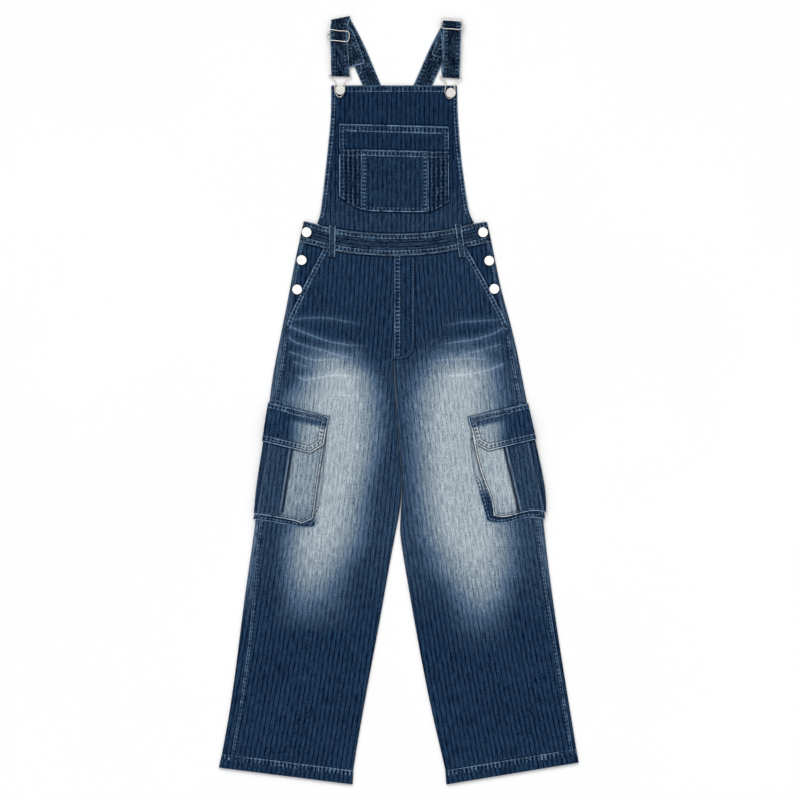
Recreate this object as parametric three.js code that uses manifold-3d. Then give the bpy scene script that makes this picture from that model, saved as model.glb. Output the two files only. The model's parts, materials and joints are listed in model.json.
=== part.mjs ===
// Denim cargo dungarees laid flat on their back, in millimetres, +Z up.
// The bib points to +Y, the hems to -Y, and "left" is the side at -X as seen from above.
// The origin is the bottom centre of the whole garment, on the surface that it lies on.
import * as THREE from 'three';
import Module from 'manifold-3d';

const wasm = await Module();
wasm.setup();

// Driving sizes
const CLOTH = 1.2;          // one layer of denim
const DOUBLE = 2.4;         // two layers sewn together
const GAP = 0.3;            // clearance at a seam and between layers
const LEG_LOFT = 6;         // underside of the back panel to top of the front panel
const BAND_LOFT = 7.2;      // the same through the doubled waistband
const FOLD_REACH = 4.5;     // how far in from the edge a side fold rounds off
const CENTRE_X = -7.7;      // centre front seam, above the crotch
const CROTCH_Y = -25;       // where the four leg seams meet
const FACING_DROP = CLOTH + GAP; // the hip facing lies one layer below the front
const FACING_TUCK = 12;     // facing hidden under the slanted pocket edge
const HEM_DEPTH = 25;       // turned-up hem at each leg
const HEM_RAISE = 1;        // extra thickness of the hem
const BIB_HEM = { top: 12, side: 7, raise: 1 };
const STRAP = { width: 34, thick: 2.4 };
const FLAP_THICK = 2;
const GUSSET_SPACE = 3;     // room that the folded gusset takes under a cargo pocket
const POCKET_REACH = 8;     // how far in from the edge a cargo pocket rounds off
const BUTTON = { radius: 9, cap: 3, shank: 3.4 };
const WIRE = 1.1;           // radius of the buckle wire

const COLOURS = {
  denim: 0x24405f, denimDark: 0x1a2f4a, faded: 0x8fa3b0, metal: 0xc9c6bf,
};
const denim = () => new THREE.MeshStandardMaterial({ color: COLOURS.denim, roughness: 0.92, metalness: 0 });
const denimDark = () => new THREE.MeshStandardMaterial({ color: COLOURS.denimDark, roughness: 0.92, metalness: 0 });
const faded = () => new THREE.MeshStandardMaterial({ color: COLOURS.faded, roughness: 0.92, metalness: 0 });
const metal = () => new THREE.MeshStandardMaterial({ color: COLOURS.metal, roughness: 0.3, metalness: 1 });

// Outline of each leg, seen from above: x of the inner and outer edge at a height y
const LEG_EDGES = {
  left: {
    side: -1,
    inner: [
      { y: 300, x: -7.9 }, { y: 50, x: -7.9 }, { y: 0, x: -5.1 }, { y: -48, x: -1.8 }, { y: -92, x: 1.9 },
      { y: -133, x: 4.5 }, { y: -175, x: 5.6 }, { y: -207, x: 1.6 }, { y: -232, x: -3.4 },
      { y: -260, x: -9 }, { y: -310, x: -18.4 }, { y: -388, x: -31.7 }, { y: -466, x: -46.2 },
      { y: -543, x: -60.6 }, { y: -621, x: -74.3 }, { y: -687, x: -84.8 }, { y: -712, x: -86.5 },
    ],
    outer: [
      { y: 293, x: -184.2 }, { y: 259, x: -191.9 }, { y: 208, x: -200.8 }, { y: 143, x: -213.6 },
      { y: 104, x: -221.5 }, { y: 52, x: -231.7 }, { y: 0, x: -238.6 }, { y: -48, x: -244.7 },
      { y: -133, x: -254.4 }, { y: -229, x: -265.4 }, { y: -310, x: -277 }, { y: -388, x: -288.1 },
      { y: -466, x: -297.4 }, { y: -543, x: -307.6 }, { y: -600, x: -316.8 }, { y: -653, x: -327 }, { y: -680, x: -333 },
    ],
    // How far the back panel wraps round onto the front, at a height y
    wrap: [
      { y: 300, x: 4.8 }, { y: 143, x: 5.4 }, { y: 85, x: 10 }, { y: 0, x: 10 }, { y: -260, x: 8 },
      { y: -353, x: 13.5 }, { y: -436, x: 18 }, { y: -486, x: 16 }, { y: -568, x: 17 }, { y: -680, x: 16 },
    ],
    // The slanted edge of the front pocket
    slant: { top: [-141.1, 281], foot: [-208.2, 143] },
    hem: { inner: -710, outer: -679 },
  },
  right: {
    side: 1,
    inner: [
      { y: 300, x: -7.5 }, { y: 50, x: -7.5 }, { y: 0, x: -4.7 }, { y: -48, x: -1.4 }, { y: -92, x: 2.3 },
      { y: -133, x: 4.9 }, { y: -175, x: 6 }, { y: -207, x: 3.6 }, { y: -232, x: 1.4 },
      { y: -260, x: 4.2 }, { y: -310, x: 11.9 }, { y: -388, x: 25.3 }, { y: -466, x: 39.3 },
      { y: -543, x: 54.1 }, { y: -621, x: 71.1 }, { y: -682, x: 86 }, { y: -712, x: 89 },
    ],
    outer: [
      { y: 293, x: 171.4 }, { y: 259, x: 178.4 }, { y: 208, x: 188.4 }, { y: 140, x: 207.2 },
      { y: 104, x: 216 }, { y: 52, x: 226.2 }, { y: 0, x: 236 }, { y: -48, x: 244 },
      { y: -133, x: 256.6 }, { y: -229, x: 267.6 }, { y: -310, x: 277 }, { y: -388, x: 287.6 },
      { y: -466, x: 299.1 }, { y: -543, x: 311.8 }, { y: -600, x: 321 }, { y: -648, x: 329 }, { y: -671, x: 333.2 },
    ],
    wrap: [
      { y: 300, x: 4.8 }, { y: 140, x: 5.4 }, { y: 98, x: 9 }, { y: 0, x: 9 }, { y: -260, x: 8 },
      { y: -353, x: 7.5 }, { y: -436, x: 6 }, { y: -568, x: 6 }, { y: -680, x: 6.5 },
    ],
    slant: { top: [127.4, 281], foot: [202.2, 140] },
    hem: { inner: -710, outer: -669.5 },
  },
};

// Rows of a leg panel from waist to hem: y at the inner and at the outer edge
const LEG_ROWS = [
  { inner: 267, outer: 293 }, { inner: 232, outer: 252 }, { inner: 195, outer: 212 },
  { inner: 160, outer: 173 }, { inner: 130, outer: 141 }, { inner: 88, outer: 95 },
  { inner: 44, outer: 48 }, { inner: 28, outer: 30 }, { inner: 13, outer: 14 },
  { inner: 0, outer: 0 }, { inner: -12, outer: -12 }, { inner: -23, outer: -23 },
  { inner: -35, outer: -35 }, { inner: -50, outer: -50 }, { inner: -72, outer: -72 },
  { inner: -90, outer: -90 }, { inner: -108, outer: -108 }, { inner: -130, outer: -130 }, { inner: -172, outer: -172 },
  { inner: -207, outer: -207 }, { inner: -240, outer: -240 }, { inner: -256, outer: -256 },
  { inner: -272, outer: -272 }, { inner: -308, outer: -304 },
  { inner: -372, outer: -364 }, { inner: -444, outer: -432 }, { inner: -516, outer: -500 },
  { inner: -590, outer: -568 }, { inner: -650, outer: -624 },
];

// Waistband, from the left end to the right: its top and bottom edge
const BAND = [
  { topX: -175.8, topY: 330.7, footX: -184.2, footY: 293 }, { topX: -151.5, topY: 325.5, footX: -159, footY: 287.4 },
  { topX: -131, topY: 318.9, footX: -134, footY: 280.6 }, { topX: -88.5, topY: 312, footX: -90, footY: 272 },
  { topX: -48, topY: 308.2, footX: -48, footY: 268.6 }, { topX: -7.7, topY: 306.8, footX: -7.7, footY: 267 },
  { topX: 34, topY: 308, footX: 34, footY: 268.6 }, { topX: 72.6, topY: 311.3, footX: 73, footY: 272.4 },
  { topX: 104, topY: 318.1, footX: 108, footY: 279.2 }, { topX: 139.2, topY: 326.4, footX: 146, footY: 287.6 },
  { topX: 163.3, topY: 329.8, footX: 171.4, footY: 293 },
];

// Bib: x of the left and right edge at a height y
const BIB_EDGES = [
  { y: 326, left: -151, right: 139.6 }, { y: 341, left: -145.7, right: 131.6 }, { y: 363, left: -142.6, right: 127.4 },
  { y: 411, left: -137.2, right: 120.4 }, { y: 454, left: -132.6, right: 115 }, { y: 500, left: -127.8, right: 111.2 },
  { y: 540, left: -125, right: 108.6 }, { y: 583, left: -125, right: 107.8 },
];
const BIB_TOP_Y = 582;

// Back bib: narrow at the top, where the straps are sewn on, and hidden by the front bib
const BACK_BIB_EDGES = [
  { y: 308, left: -120, right: 106 }, { y: 360, left: -104, right: 92 }, { y: 420, left: -84, right: 74 },
  { y: 480, left: -64, right: 57 }, { y: 537, left: -53, right: 47 },
];
const BACK_BIB_TOP_Y = 537;

// Bib pocket: the lower edge, and the height of its two openings at each side
const BIB_POCKET = {
  left: -110, right: 92.6,
  foot: [
    { x: -110, y: 377 }, { x: -91, y: 363 }, { x: -73, y: 353 }, { x: -57, y: 349.4 },
    { x: 0, y: 348 }, { x: 58, y: 347.4 }, { x: 75, y: 356.5 }, { x: 92.6, y: 367 },
  ],
  upper: { leftY: 511, rightY: 505.5 },
  lower: { leftY: 464, rightY: 459.3 },
};

// Mock fly: a patch whose foot curves back to the centre seam
const FLY = { width: 36, topY: 266.5, cornerY: 104, footY: 76 };

// Belt loops on the front: centre at the top and foot
const LOOPS = [
  { name: 'belt_loop_left', topX: -122.5, footX: -123.5, topY: 320, footY: 268 },
  { name: 'belt_loop_right', topX: 110, footX: 117, topY: 322, footY: 268 },
];
const LOOP = { width: 11.5, lift: 1.6 };

// Cargo pockets, in distance from the side fold: positive on the front, negative on the back
const CARGO = {
  left: {
    back: -57, bulge: [{ y: -30, x: 1.5 }, { y: -80, x: 3 }, { y: -170, x: 6.5 }, { y: -225, x: 4.5 }],
    inner: [{ y: -60, x: 112 }, { y: -139, x: 113 }, { y: -190, x: 112 }, { y: -222, x: 109 }],
    foot: [
      { s: -57, y: -199 }, { s: 0, y: -209 }, { s: 45, y: -216.5 }, { s: 85, y: -224 },
      { s: 99, y: -230 }, { s: 112, y: -216 },
    ],
    gussetOut: { side: 3, corner: 5, foot: 11 },
    flap: { back: -55, outerTopY: -4, front: 115.5, slope: 0.236, depth: 71, chamfer: 22.2, innerDepth: 50 },
  },
  right: {
    back: -57,
    bulge: [
      { y: -30, x: 1.5 }, { y: -80, x: 5 }, { y: -139, x: 9.3 }, { y: -190, x: 11.2 }, { y: -206, x: 8 },
      { y: -218, x: 3.6 }, { y: -228, x: 2.8 },
    ],
    inner: [{ y: -60, x: 114 }, { y: -116, x: 114.5 }, { y: -158, x: 109 }, { y: -191, x: 99 }, { y: -222, x: 95 }],
    foot: [
      { s: -57, y: -197 }, { s: 0, y: -207 }, { s: 20, y: -203 }, { s: 42, y: -206 },
      { s: 62, y: -213 }, { s: 80, y: -216 }, { s: 99, y: -212 },
    ],
    gussetOut: { side: 9, corner: 15, foot: 13 },
    flap: { back: -55, outerTopY: -5.5, front: 115, slope: 0.228, depth: 66, chamfer: 21.7, innerDepth: 48 },
  },
};
// Box pleat of each pocket: from where to where it lies, in distance from the side fold
const PLEAT = { left: { from: 9.2, to: 49.4 }, right: { from: 12.6, to: 53 }, raise: 1.4, edge: 1.2 };
const POCKET_MOUTH_DROP = 33;  // the pocket's mouth below the top of its flap

// Short helpers for tables and blends
const lerp = (a, b, t) => a + (b - a) * t;
const clamp01 = (t) => Math.min(1, Math.max(0, t));
const smooth = (t) => { const c = clamp01(t); return c * c * (3 - 2 * c); };

// Reads column `value` of a table at `at` of column `key`, as a smooth curve through the rows
function readTable(rows, key, value, at) {
  const falling = rows[0][key] > rows[rows.length - 1][key];
  const before = (row) => (falling ? row[key] >= at : row[key] <= at);
  let i = 0;
  while (i < rows.length - 2 && before(rows[i + 1])) i += 1;
  const [p0, p1, p2, p3] = [i - 1, i, i + 1, i + 2].map((k) => rows[Math.min(rows.length - 1, Math.max(0, k))]);
  const span = p2[key] - p1[key];
  const t = clamp01((at - p1[key]) / span);
  const slopeOf = (a, b) => (a === b ? 0 : (b[value] - a[value]) / (b[key] - a[key]));
  const chord = slopeOf(p1, p2);
  const m1 = (p0 === p1 ? chord : slopeOf(p0, p2)) * span;
  const m2 = (p2 === p3 ? chord : slopeOf(p1, p3)) * span;
  const t2 = t * t;
  const t3 = t2 * t;
  return (2 * t3 - 3 * t2 + 1) * p1[value] + (t3 - 2 * t2 + t) * m1 + (3 * t2 - 2 * t3) * p2[value] + (t3 - t2) * m2;
}

// Evenly spaced numbers from a to b
const spread = (a, b, count) => Array.from({ length: count + 1 }, (_, i) => lerp(a, b, i / count));

// Soft troughs of the front, as the cloth settles: centre, direction, size and depth
const TROUGHS = [
  { x: -150, y: 96, turn: -0.16, long: 90, wide: 26, deep: 1.1 },
  { x: -120, y: 30, turn: -0.1, long: 110, wide: 34, deep: 1.2 },
  { x: 128, y: 92, turn: 0.18, long: 90, wide: 26, deep: 1.1 },
  { x: 112, y: 26, turn: 0.12, long: 110, wide: 34, deep: 1.2 },
  { x: -60, y: -150, turn: 1.45, long: 120, wide: 34, deep: 1.3 },
  { x: 66, y: -150, turn: -1.45, long: 120, wide: 34, deep: 1.3 },
  { x: -205, y: -400, turn: 1.42, long: 190, wide: 40, deep: 1 },
  { x: 214, y: -430, turn: -1.4, long: 190, wide: 40, deep: 1 },
  { x: -150, y: -520, turn: 1.5, long: 160, wide: 44, deep: 0.9 },
  { x: 150, y: -330, turn: -1.5, long: 160, wide: 44, deep: 0.9 },
];
function relief(x, y) {
  let z = 0;
  for (const t of TROUGHS) {
    const along = (x - t.x) * Math.cos(t.turn) + (y - t.y) * Math.sin(t.turn);
    const across = (y - t.y) * Math.cos(t.turn) - (x - t.x) * Math.sin(t.turn);
    z -= t.deep * Math.exp(-((along / t.long) ** 2) - (across / t.wide) ** 2);
  }
  return z;
}

// Closed wall between two grids of points, with a rim all round
function shell(outer, inner) {
  const rows = outer.length;
  const columns = outer[0].length;
  const points = [...outer.flat(), ...inner.flat()];
  const offset = rows * columns;
  const triangles = [];
  const quad = (a, b, c, d) => triangles.push(a, b, c, a, c, d);
  for (let i = 0; i < rows - 1; i += 1) {
    for (let j = 0; j < columns - 1; j += 1) {
      const a = i * columns + j;
      quad(a, a + columns, a + columns + 1, a + 1);
      quad(offset + a, offset + a + 1, offset + a + columns + 1, offset + a + columns);
    }
  }
  const rim = [];
  for (let j = 0; j < columns - 1; j += 1) rim.push([j, j + 1]);
  for (let i = 0; i < rows - 1; i += 1) rim.push([(i + 1) * columns - 1, (i + 2) * columns - 1]);
  for (let j = columns - 1; j > 0; j -= 1) rim.push([(rows - 1) * columns + j, (rows - 1) * columns + j - 1]);
  for (let i = rows - 1; i > 0; i -= 1) rim.push([i * columns, (i - 1) * columns]);
  for (const [a, b] of rim) quad(a, b, offset + b, offset + a);
  return solidGeometry(points, triangles);
}

// Buffer geometry from points and triangles, turned so that its faces point out
function solidGeometry(points, triangles) {
  let volume = 0;
  for (let k = 0; k < triangles.length; k += 3) {
    const [a, b, c] = [0, 1, 2].map((m) => points[triangles[k + m]]);
    volume += a.dot(new THREE.Vector3().crossVectors(b, c));
  }
  const faces = volume < 0 ? triangles.slice().reverse() : triangles;
  const geometry = new THREE.BufferGeometry();
  geometry.setAttribute('position', new THREE.Float32BufferAttribute(points.flatMap((p) => [p.x, p.y, p.z]), 3));
  geometry.setIndex(faces);
  geometry.computeVertexNormals();
  return geometry;
}

// Direction along a line of points at one of them; at an end it is that of an arc through three
function tangentAt(line, k) {
  const last = line.length - 1;
  if (k > 0 && k < last) return line[k + 1].clone().sub(line[k - 1]);
  if (last < 2) return line[last].clone().sub(line[0]);
  const step = k === 0 ? 1 : -1;
  const [a, b, c] = [line[k], line[k + step], line[k + 2 * step]];
  const share = a.distanceTo(b) / (a.distanceTo(b) + b.distanceTo(c));
  const ab = b.clone().sub(a).normalize();
  const bc = c.clone().sub(b).normalize();
  return ab.addScaledVector(bc.sub(ab), -share).multiplyScalar(step);
}

// Normals of a grid of points; `facing` is the way that the middle of the sheet looks
function gridNormals(grid, facing) {
  const rows = grid.length;
  const columns = grid[0].length;
  const lines = grid[0].map((_, j) => grid.map((row) => row[j]));
  const normals = grid.map((row, i) => row.map((_, j) => tangentAt(lines[j], i).cross(tangentAt(row, j)).normalize()));
  const middle = normals[Math.floor(rows / 2)][Math.floor(columns / 2)];
  const turn = middle.dot(facing) < 0 ? -1 : 1;
  return normals.map((row) => row.map((n) => n.multiplyScalar(turn)));
}

// A cloth wall below an outer grid of points
const UP = new THREE.Vector3(0, 0, 1);
const DOWN = new THREE.Vector3(0, 0, -1);
function wall(grid, thick, facing = UP, extra = () => ({ out: 0, in: 0 })) {
  const normals = gridNormals(grid, facing);
  const moved = (by) => grid.map((row, i) => row.map((p, j) => p.clone().addScaledVector(normals[i][j], by(i, j))));
  return shell(moved((i, j) => extra(i, j).out), moved((i, j) => -thick - extra(i, j).in));
}

// A cloth wall over plain heights: z of its top and of its underside at each point of a plan grid
function slab(plan, topOf, footOf) {
  const lifted = (heightOf) => plan.map((row) => row.map(([x, y]) => new THREE.Vector3(x, y, heightOf(x, y))));
  return shell(lifted(topOf), lifted(footOf));
}

// Heights of the waistband's edges
const bandTop = (x) => readTable(BAND, 'topX', 'topY', x);
const bandFoot = (x) => readTable(BAND, 'footX', 'footY', x);

// A distance from a rounded edge, turned into how far in it lies and how high: -1 bottom, 1 top
function roundEdge(s, reach) {
  if (Math.abs(s) >= reach) return { inset: Math.abs(s), level: Math.sign(s) };
  const angle = (s / reach) * (Math.PI / 2);
  return { inset: reach * (1 - Math.cos(angle)), level: Math.sin(angle) };
}

// What lies under a leg at its side: the back half of the flap, then of the cargo pocket
const flapTopAt = (cargo, s) => cargo.flap.outerTopY - cargo.flap.slope * s;
function flapZone(cargo, y, s) {
  const top = flapTopAt(cargo, s);
  return smooth((top + 34 - y) / 24) * smooth((y - (top - cargo.flap.depth - 42)) / 40);
}
function pocketZone(cargo, y, s) {
  const mouth = flapTopAt(cargo, s) - POCKET_MOUTH_DROP;
  return smooth((mouth + 30 - y) / 26) * smooth((y + 270) / 30);
}
const FLAP_LIFT = FLAP_THICK + GAP + 0.1;
const LIFT_END = { from: 88, to: 64 };  // how far in from the edge the lift fades out
const POCKET_LIFT = CLOTH + GUSSET_SPACE;
function legLift(cargo, y, inset) {
  const near = smooth((LIFT_END.from - inset) / (LIFT_END.from - LIFT_END.to));
  const s = -Math.min(inset, 57);
  return near * (FLAP_LIFT * flapZone(cargo, y, s) + POCKET_LIFT * pocketZone(cargo, y, s));
}

// One point of a leg. The row runs from yInner to yOuter, and d is the distance from its inner edge
function legPoint(name, yInner, yOuter, d, level, drop = 0) {
  const leg = LEG_EDGES[name];
  const xInner = readTable(leg.inner, 'y', 'x', yInner);
  const xOuter = readTable(leg.outer, 'y', 'x', yOuter);
  const width = Math.abs(xOuter - xInner);
  const share = d / width;
  const x = lerp(xInner, xOuter, share);
  const chord = lerp(yInner, yOuter, share);
  const sag = smooth((yOuter - 190) / 90);
  const y = chord + sag * (bandFoot(x) - 2 * GAP - lerp(bandFoot(xInner), bandFoot(xOuter), share));
  const foot = legLift(CARGO[name], y, Math.max(0, width - d));
  const top = foot + LEG_LOFT + relief(x, y) - drop;
  const middle = foot + (LEG_LOFT - drop) / 2;
  const z = level >= 0 ? lerp(middle, top, level) : lerp(middle, foot, -level);
  return new THREE.Vector3(x, y, z);
}
function legWidth(name, yInner, yOuter) {
  const leg = LEG_EDGES[name];
  return Math.abs(readTable(leg.outer, 'y', 'x', yOuter) - readTable(leg.inner, 'y', 'x', yInner));
}

// All rows of a leg, with two close rows at the top of the hem
function legRows(name) {
  const { hem } = LEG_EDGES[name];
  const hemRows = [HEM_DEPTH + 1, HEM_DEPTH - 1, 12, 0].map((h) => (
    { inner: hem.inner + h, outer: hem.outer + h, raise: h < HEM_DEPTH ? HEM_RAISE : 0 }));
  return [...LEG_ROWS.map((row) => ({ ...row, raise: 0 })), ...hemRows];
}

// The inner edge of a leg panel, as it curls down to the inseam
function curlStations(curl, side) {
  return [9, 35, 62].map((degrees) => {
    const angle = THREE.MathUtils.degToRad(degrees);
    return { d: FOLD_REACH * (1 - Math.cos(angle)) + HALF_SEAM * (1 - curl), level: side * lerp(1, Math.sin(angle), curl) };
  });
}

// How far the inner edge curls down to its inseam: flat at the centre seam, round below the crotch
const curlAt = (y) => smooth((CROTCH_Y + 60 - y) / 90);
const HALF_SEAM = GAP / 2 + 0.05;

// Where a row of the front panel stops: at the slanted pocket edge, and below that at the side seam
function frontReach(name, row) {
  const leg = LEG_EDGES[name];
  const width = legWidth(name, row.inner, row.outer);
  const seam = width - readTable(leg.wrap, 'y', 'x', row.outer) - HALF_SEAM;
  if (row.outer <= leg.slant.foot[1]) return seam;
  const xInner = readTable(leg.inner, 'y', 'x', row.inner);
  const xOuter = readTable(leg.outer, 'y', 'x', row.outer);
  const [topX, topY] = leg.slant.top;
  const [footX, footY] = leg.slant.foot;
  const rowX = xOuter - xInner;
  const rowY = row.outer - row.inner;
  const cross = rowX * (footY - topY) - rowY * (footX - topX);
  const share = ((topX - xInner) * (footY - topY) - (topY - row.inner) * (footX - topX)) / cross;
  return Math.min(seam, share * width);
}
const dropAt = (name, yOuter) => FACING_DROP * smooth((yOuter - LEG_EDGES[name].slant.foot[1]) / 40);

// Front panel of a leg: from the centre seam or inseam to the side seam
function legFront(name) {
  const rows = legRows(name);
  const grid = rows.map((row) => {
    const width = legWidth(name, row.inner, row.outer);
    const reach = frontReach(name, row);
    const flat = [...spread(FOLD_REACH, width - LIFT_END.from, 4), width - 76, width - LIFT_END.to];
    const stations = [...curlStations(curlAt(row.inner), 1),
      ...[...flat, lerp(width - LIFT_END.to, reach, 0.5), reach].map((d) => ({ d, level: 1 }))];
    return stations.map(({ d, level }) => legPoint(name, row.inner, row.outer, d, level));
  });
  return wall(grid, CLOTH, UP, (i) => ({ out: rows[i].raise, in: 0 }));
}

// Back panel of a leg: along the underside, round the side fold and onto the front
function legBack(name) {
  const leg = LEG_EDGES[name];
  const rows = legRows(name);
  const stations = rows.map((row) => {
    const width = legWidth(name, row.inner, row.outer);
    const wrap = readTable(leg.wrap, 'y', 'x', row.outer);
    const flat = [...spread(FOLD_REACH, width - LIFT_END.from, 4), width - 76, width - LIFT_END.to, width - 36,
      width - FOLD_REACH];
    const fold = [-60, -30, 0, 30, 60, 90].map((degrees) => {
      const { inset, level } = roundEdge((degrees / 90) * FOLD_REACH, FOLD_REACH);
      return { d: width - inset, level };
    });
    return [...curlStations(curlAt(row.inner), -1), ...flat.map((d) => ({ d, level: -1 })), ...fold,
      { d: width - wrap + HALF_SEAM, level: 1 }];
  });
  const grid = rows.map((row, i) => {
    const drop = dropAt(name, row.outer);
    return stations[i].map(({ d, level }) => legPoint(name, row.inner, row.outer, d, level, drop));
  });
  const hem = (i, j) => {
    const outside = Math.max(0, stations[i][j].level);
    return { out: rows[i].raise * outside, in: rows[i].raise * (1 - outside) };
  };
  return wall(grid, CLOTH, DOWN, hem);
}

// Hip facing between the slanted pocket edge and the side, one layer below the front panel
function hipFacing(name) {
  const leg = LEG_EDGES[name];
  const rows = LEG_ROWS.slice(0, 4).map((row) => ({ ...row }));
  rows.push({ inner: 140, outer: 152 });
  const grid = rows.map((row) => {
    const width = legWidth(name, row.inner, row.outer);
    const outer = width - readTable(leg.wrap, 'y', 'x', row.outer) - HALF_SEAM;
    const inner = Math.min(frontReach(name, row), outer - 2) - FACING_TUCK;
    return spread(inner, outer, 4).map((d) => legPoint(name, row.inner, row.outer, d, 1, FACING_DROP));
  });
  return wall(grid, CLOTH, UP);
}

// Waistband: front half over back half, closed at the sides by a gap
const BAND_STATIONS = [0, 0.5, 1, 1.5, 2, 3, 4, 5, 6, 7, 8, 8.5, 9, 9.5, 10];
function bandColumn(at) {
  const i = Math.min(BAND.length - 2, Math.floor(at));
  const along = BAND.map((row, index) => ({ ...row, index }));
  const read = (value) => readTable(along, 'index', value, Math.min(at, i + 1));
  return { topX: read('topX'), topY: read('topY'), footX: read('footX'), footY: read('footY') };
}
function waistband(front) {
  const facing = front ? UP : DOWN;
  const sign = front ? 1 : -1;
  const last = BAND.length - 1;
  const edge = [13, 36, 62].map((degrees) => {
    const angle = THREE.MathUtils.degToRad(degrees);
    return { pull: FOLD_REACH * (1 - Math.cos(angle)), level: Math.sin(angle) };
  });
  const flat = BAND_STATIONS.slice(1, -1).map((at) => ({ at, pull: 0, level: 1 }));
  const mirrored = edge.slice().reverse().map((e) => ({ at: last, pull: -e.pull, level: e.level }));
  const stations = [
    ...edge.map((e) => ({ at: 0, ...e })), { at: 0, pull: FOLD_REACH, level: 1 }, ...flat,
    { at: last, pull: -FOLD_REACH, level: 1 }, ...mirrored,
  ];
  const grid = stations.map(({ at, pull, level }) => {
    const c = bandColumn(at);
    return [0, 0.5, 1].map((t) => {
      const x = lerp(c.topX, c.footX, t) + pull;
      const y = lerp(c.topY, c.footY, t);
      return new THREE.Vector3(x, y, (BAND_LOFT / 2) * (1 + sign * level));
    });
  });
  return wall(grid, DOUBLE, facing);
}

// Front bib: a single layer with hems, sunk to the surface at its sides and carried by the back bib
const BIB_SEAM = 0.9;       // gap along the curved seam of bib and waistband
function bibFoot(x, y) {
  const left = readTable(BIB_EDGES, 'y', 'left', y);
  const right = readTable(BIB_EDGES, 'y', 'right', y);
  const inset = Math.max(0, Math.min(x - left, right - x));
  const waist = smooth((400 - y) / 80);
  const carried = GAP + lerp(2.7, 3.1, smooth((y - 480) / 60)) * smooth(inset / 46);
  const strapEnds = 1.1 * smooth((y - 496) / 14) * smooth((556 - y) / 14) * smooth((62 - Math.abs(x + 3)) / 14);
  return lerp(carried + strapEnds, LEG_LOFT - CLOTH, waist);
}
function bibTop(x, y) {
  const left = readTable(BIB_EDGES, 'y', 'left', y);
  const right = readTable(BIB_EDGES, 'y', 'right', y);
  const inset = Math.max(0, Math.min(x - left, right - x));
  const sideHem = smooth((BIB_HEM.side + 0.6 - inset) / 1.2);
  const topHem = smooth((y - (BIB_TOP_Y - BIB_HEM.top) + 0.6) / 1.2);
  return bibFoot(x, y) + CLOTH + BIB_HEM.raise * Math.max(sideHem, topHem);
}
function bibPlan(edges, topY, footOf, rowsUp, sideSteps, middleColumns) {
  return rowsUp.map((t) => {
    const sideY = lerp(edges[0].y, topY, t);
    const left = readTable(edges, 'y', 'left', sideY);
    const right = readTable(edges, 'y', 'right', sideY);
    const xs = [...sideSteps.map((s) => left + s), ...spread(left + 14, right - 14, middleColumns),
      ...sideSteps.slice().reverse().map((s) => right - s)];
    return xs.map((x) => [x, lerp(footOf(x), topY, t)]);
  });
}
function bibFront() {
  const hemLine = (BIB_TOP_Y - BIB_HEM.top - 307) / (BIB_TOP_Y - 307);
  const rows = [0, 0.06, 0.13, 0.22, 0.34, 0.46, 0.58, 0.68, 0.76, 0.85, hemLine - 0.003, hemLine + 0.003, 1];
  const plan = bibPlan(BIB_EDGES, BIB_TOP_Y, (x) => bandTop(x) + BIB_SEAM, rows, [0, 6.4, 7.6], 8);
  return slab(plan, bibTop, bibFoot);
}
function bibBack() {
  const plan = bibPlan(BACK_BIB_EDGES, BACK_BIB_TOP_Y, (x) => bandTop(x) + BIB_SEAM, spread(0, 1, 6), [0], 4);
  return slab(plan, () => CLOTH, () => 0);
}

// Bib pocket: two layers over the bib, with the same foot and openings one above the other
function bibPocket(opening, layer) {
  const { left, right, foot } = BIB_POCKET;
  const columns = [left, -91, -73, -57, -20, 20, 58, 75, right];
  const lift = GAP + layer * (CLOTH + GAP);
  const plan = [0, 0.25, 0.5, 0.72, 0.86, 1].map((t) => columns.map((x) => {
    const topY = lerp(opening.leftY, opening.rightY, (x - left) / (right - left));
    const footY = readTable(foot, 'x', 'y', x) + layer * 0.4;
    return [x, lerp(footY, topY, t)];
  }));
  const base = (x, y) => bibFoot(x, y) + CLOTH + lift;
  return slab(plan, (x, y) => base(x, y) + CLOTH, base);
}

// Mock fly on the right front panel, beside the centre seam
function fly() {
  const bottomOf = (d) => {
    const t = clamp01((d - 8) / (FLY.width - 8));
    return lerp(FLY.footY, FLY.cornerY, 1 - Math.sqrt(1 - t * t));
  };
  const columns = [-0.8, 9, 18, 25, 30, 34, FLY.width];
  const plan = [0, 0.2, 0.4, 0.6, 0.8, 1].map((t) => columns.map((d) => {
    const y = lerp(bandFoot(CENTRE_X + d) - 2 * GAP, bottomOf(d), t);
    return [CENTRE_X + 0.2 + d, y];
  }));
  const base = (x, y) => LEG_LOFT + relief(x, y) + GAP;
  return slab(plan, (x, y) => base(x, y) + CLOTH, base);
}

// Belt loop: a narrow strip that bridges the waistband
function beltLoop(loop) {
  const profile = [
    { t: -0.06, z: LEG_LOFT + 0.9 }, { t: 0.04, z: BAND_LOFT + GAP }, { t: 0.2, z: BAND_LOFT + LOOP.lift },
    { t: 0.5, z: BAND_LOFT + LOOP.lift + 0.4 }, { t: 0.8, z: BAND_LOFT + LOOP.lift }, { t: 0.96, z: BAND_LOFT + GAP },
    { t: 1.06, z: BAND_LOFT + GAP },
  ];
  const grid = profile.map(({ t, z }) => {
    const x = lerp(loop.topX, loop.footX, t);
    const y = lerp(loop.topY, loop.footY, t);
    const top = Math.max(z, BAND_LOFT + GAP) + CLOTH;
    return [-0.5, 0, 0.5].map((side) => new THREE.Vector3(x + side * LOOP.width, y, top));
  });
  return wall(grid, CLOTH, UP);
}

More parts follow.
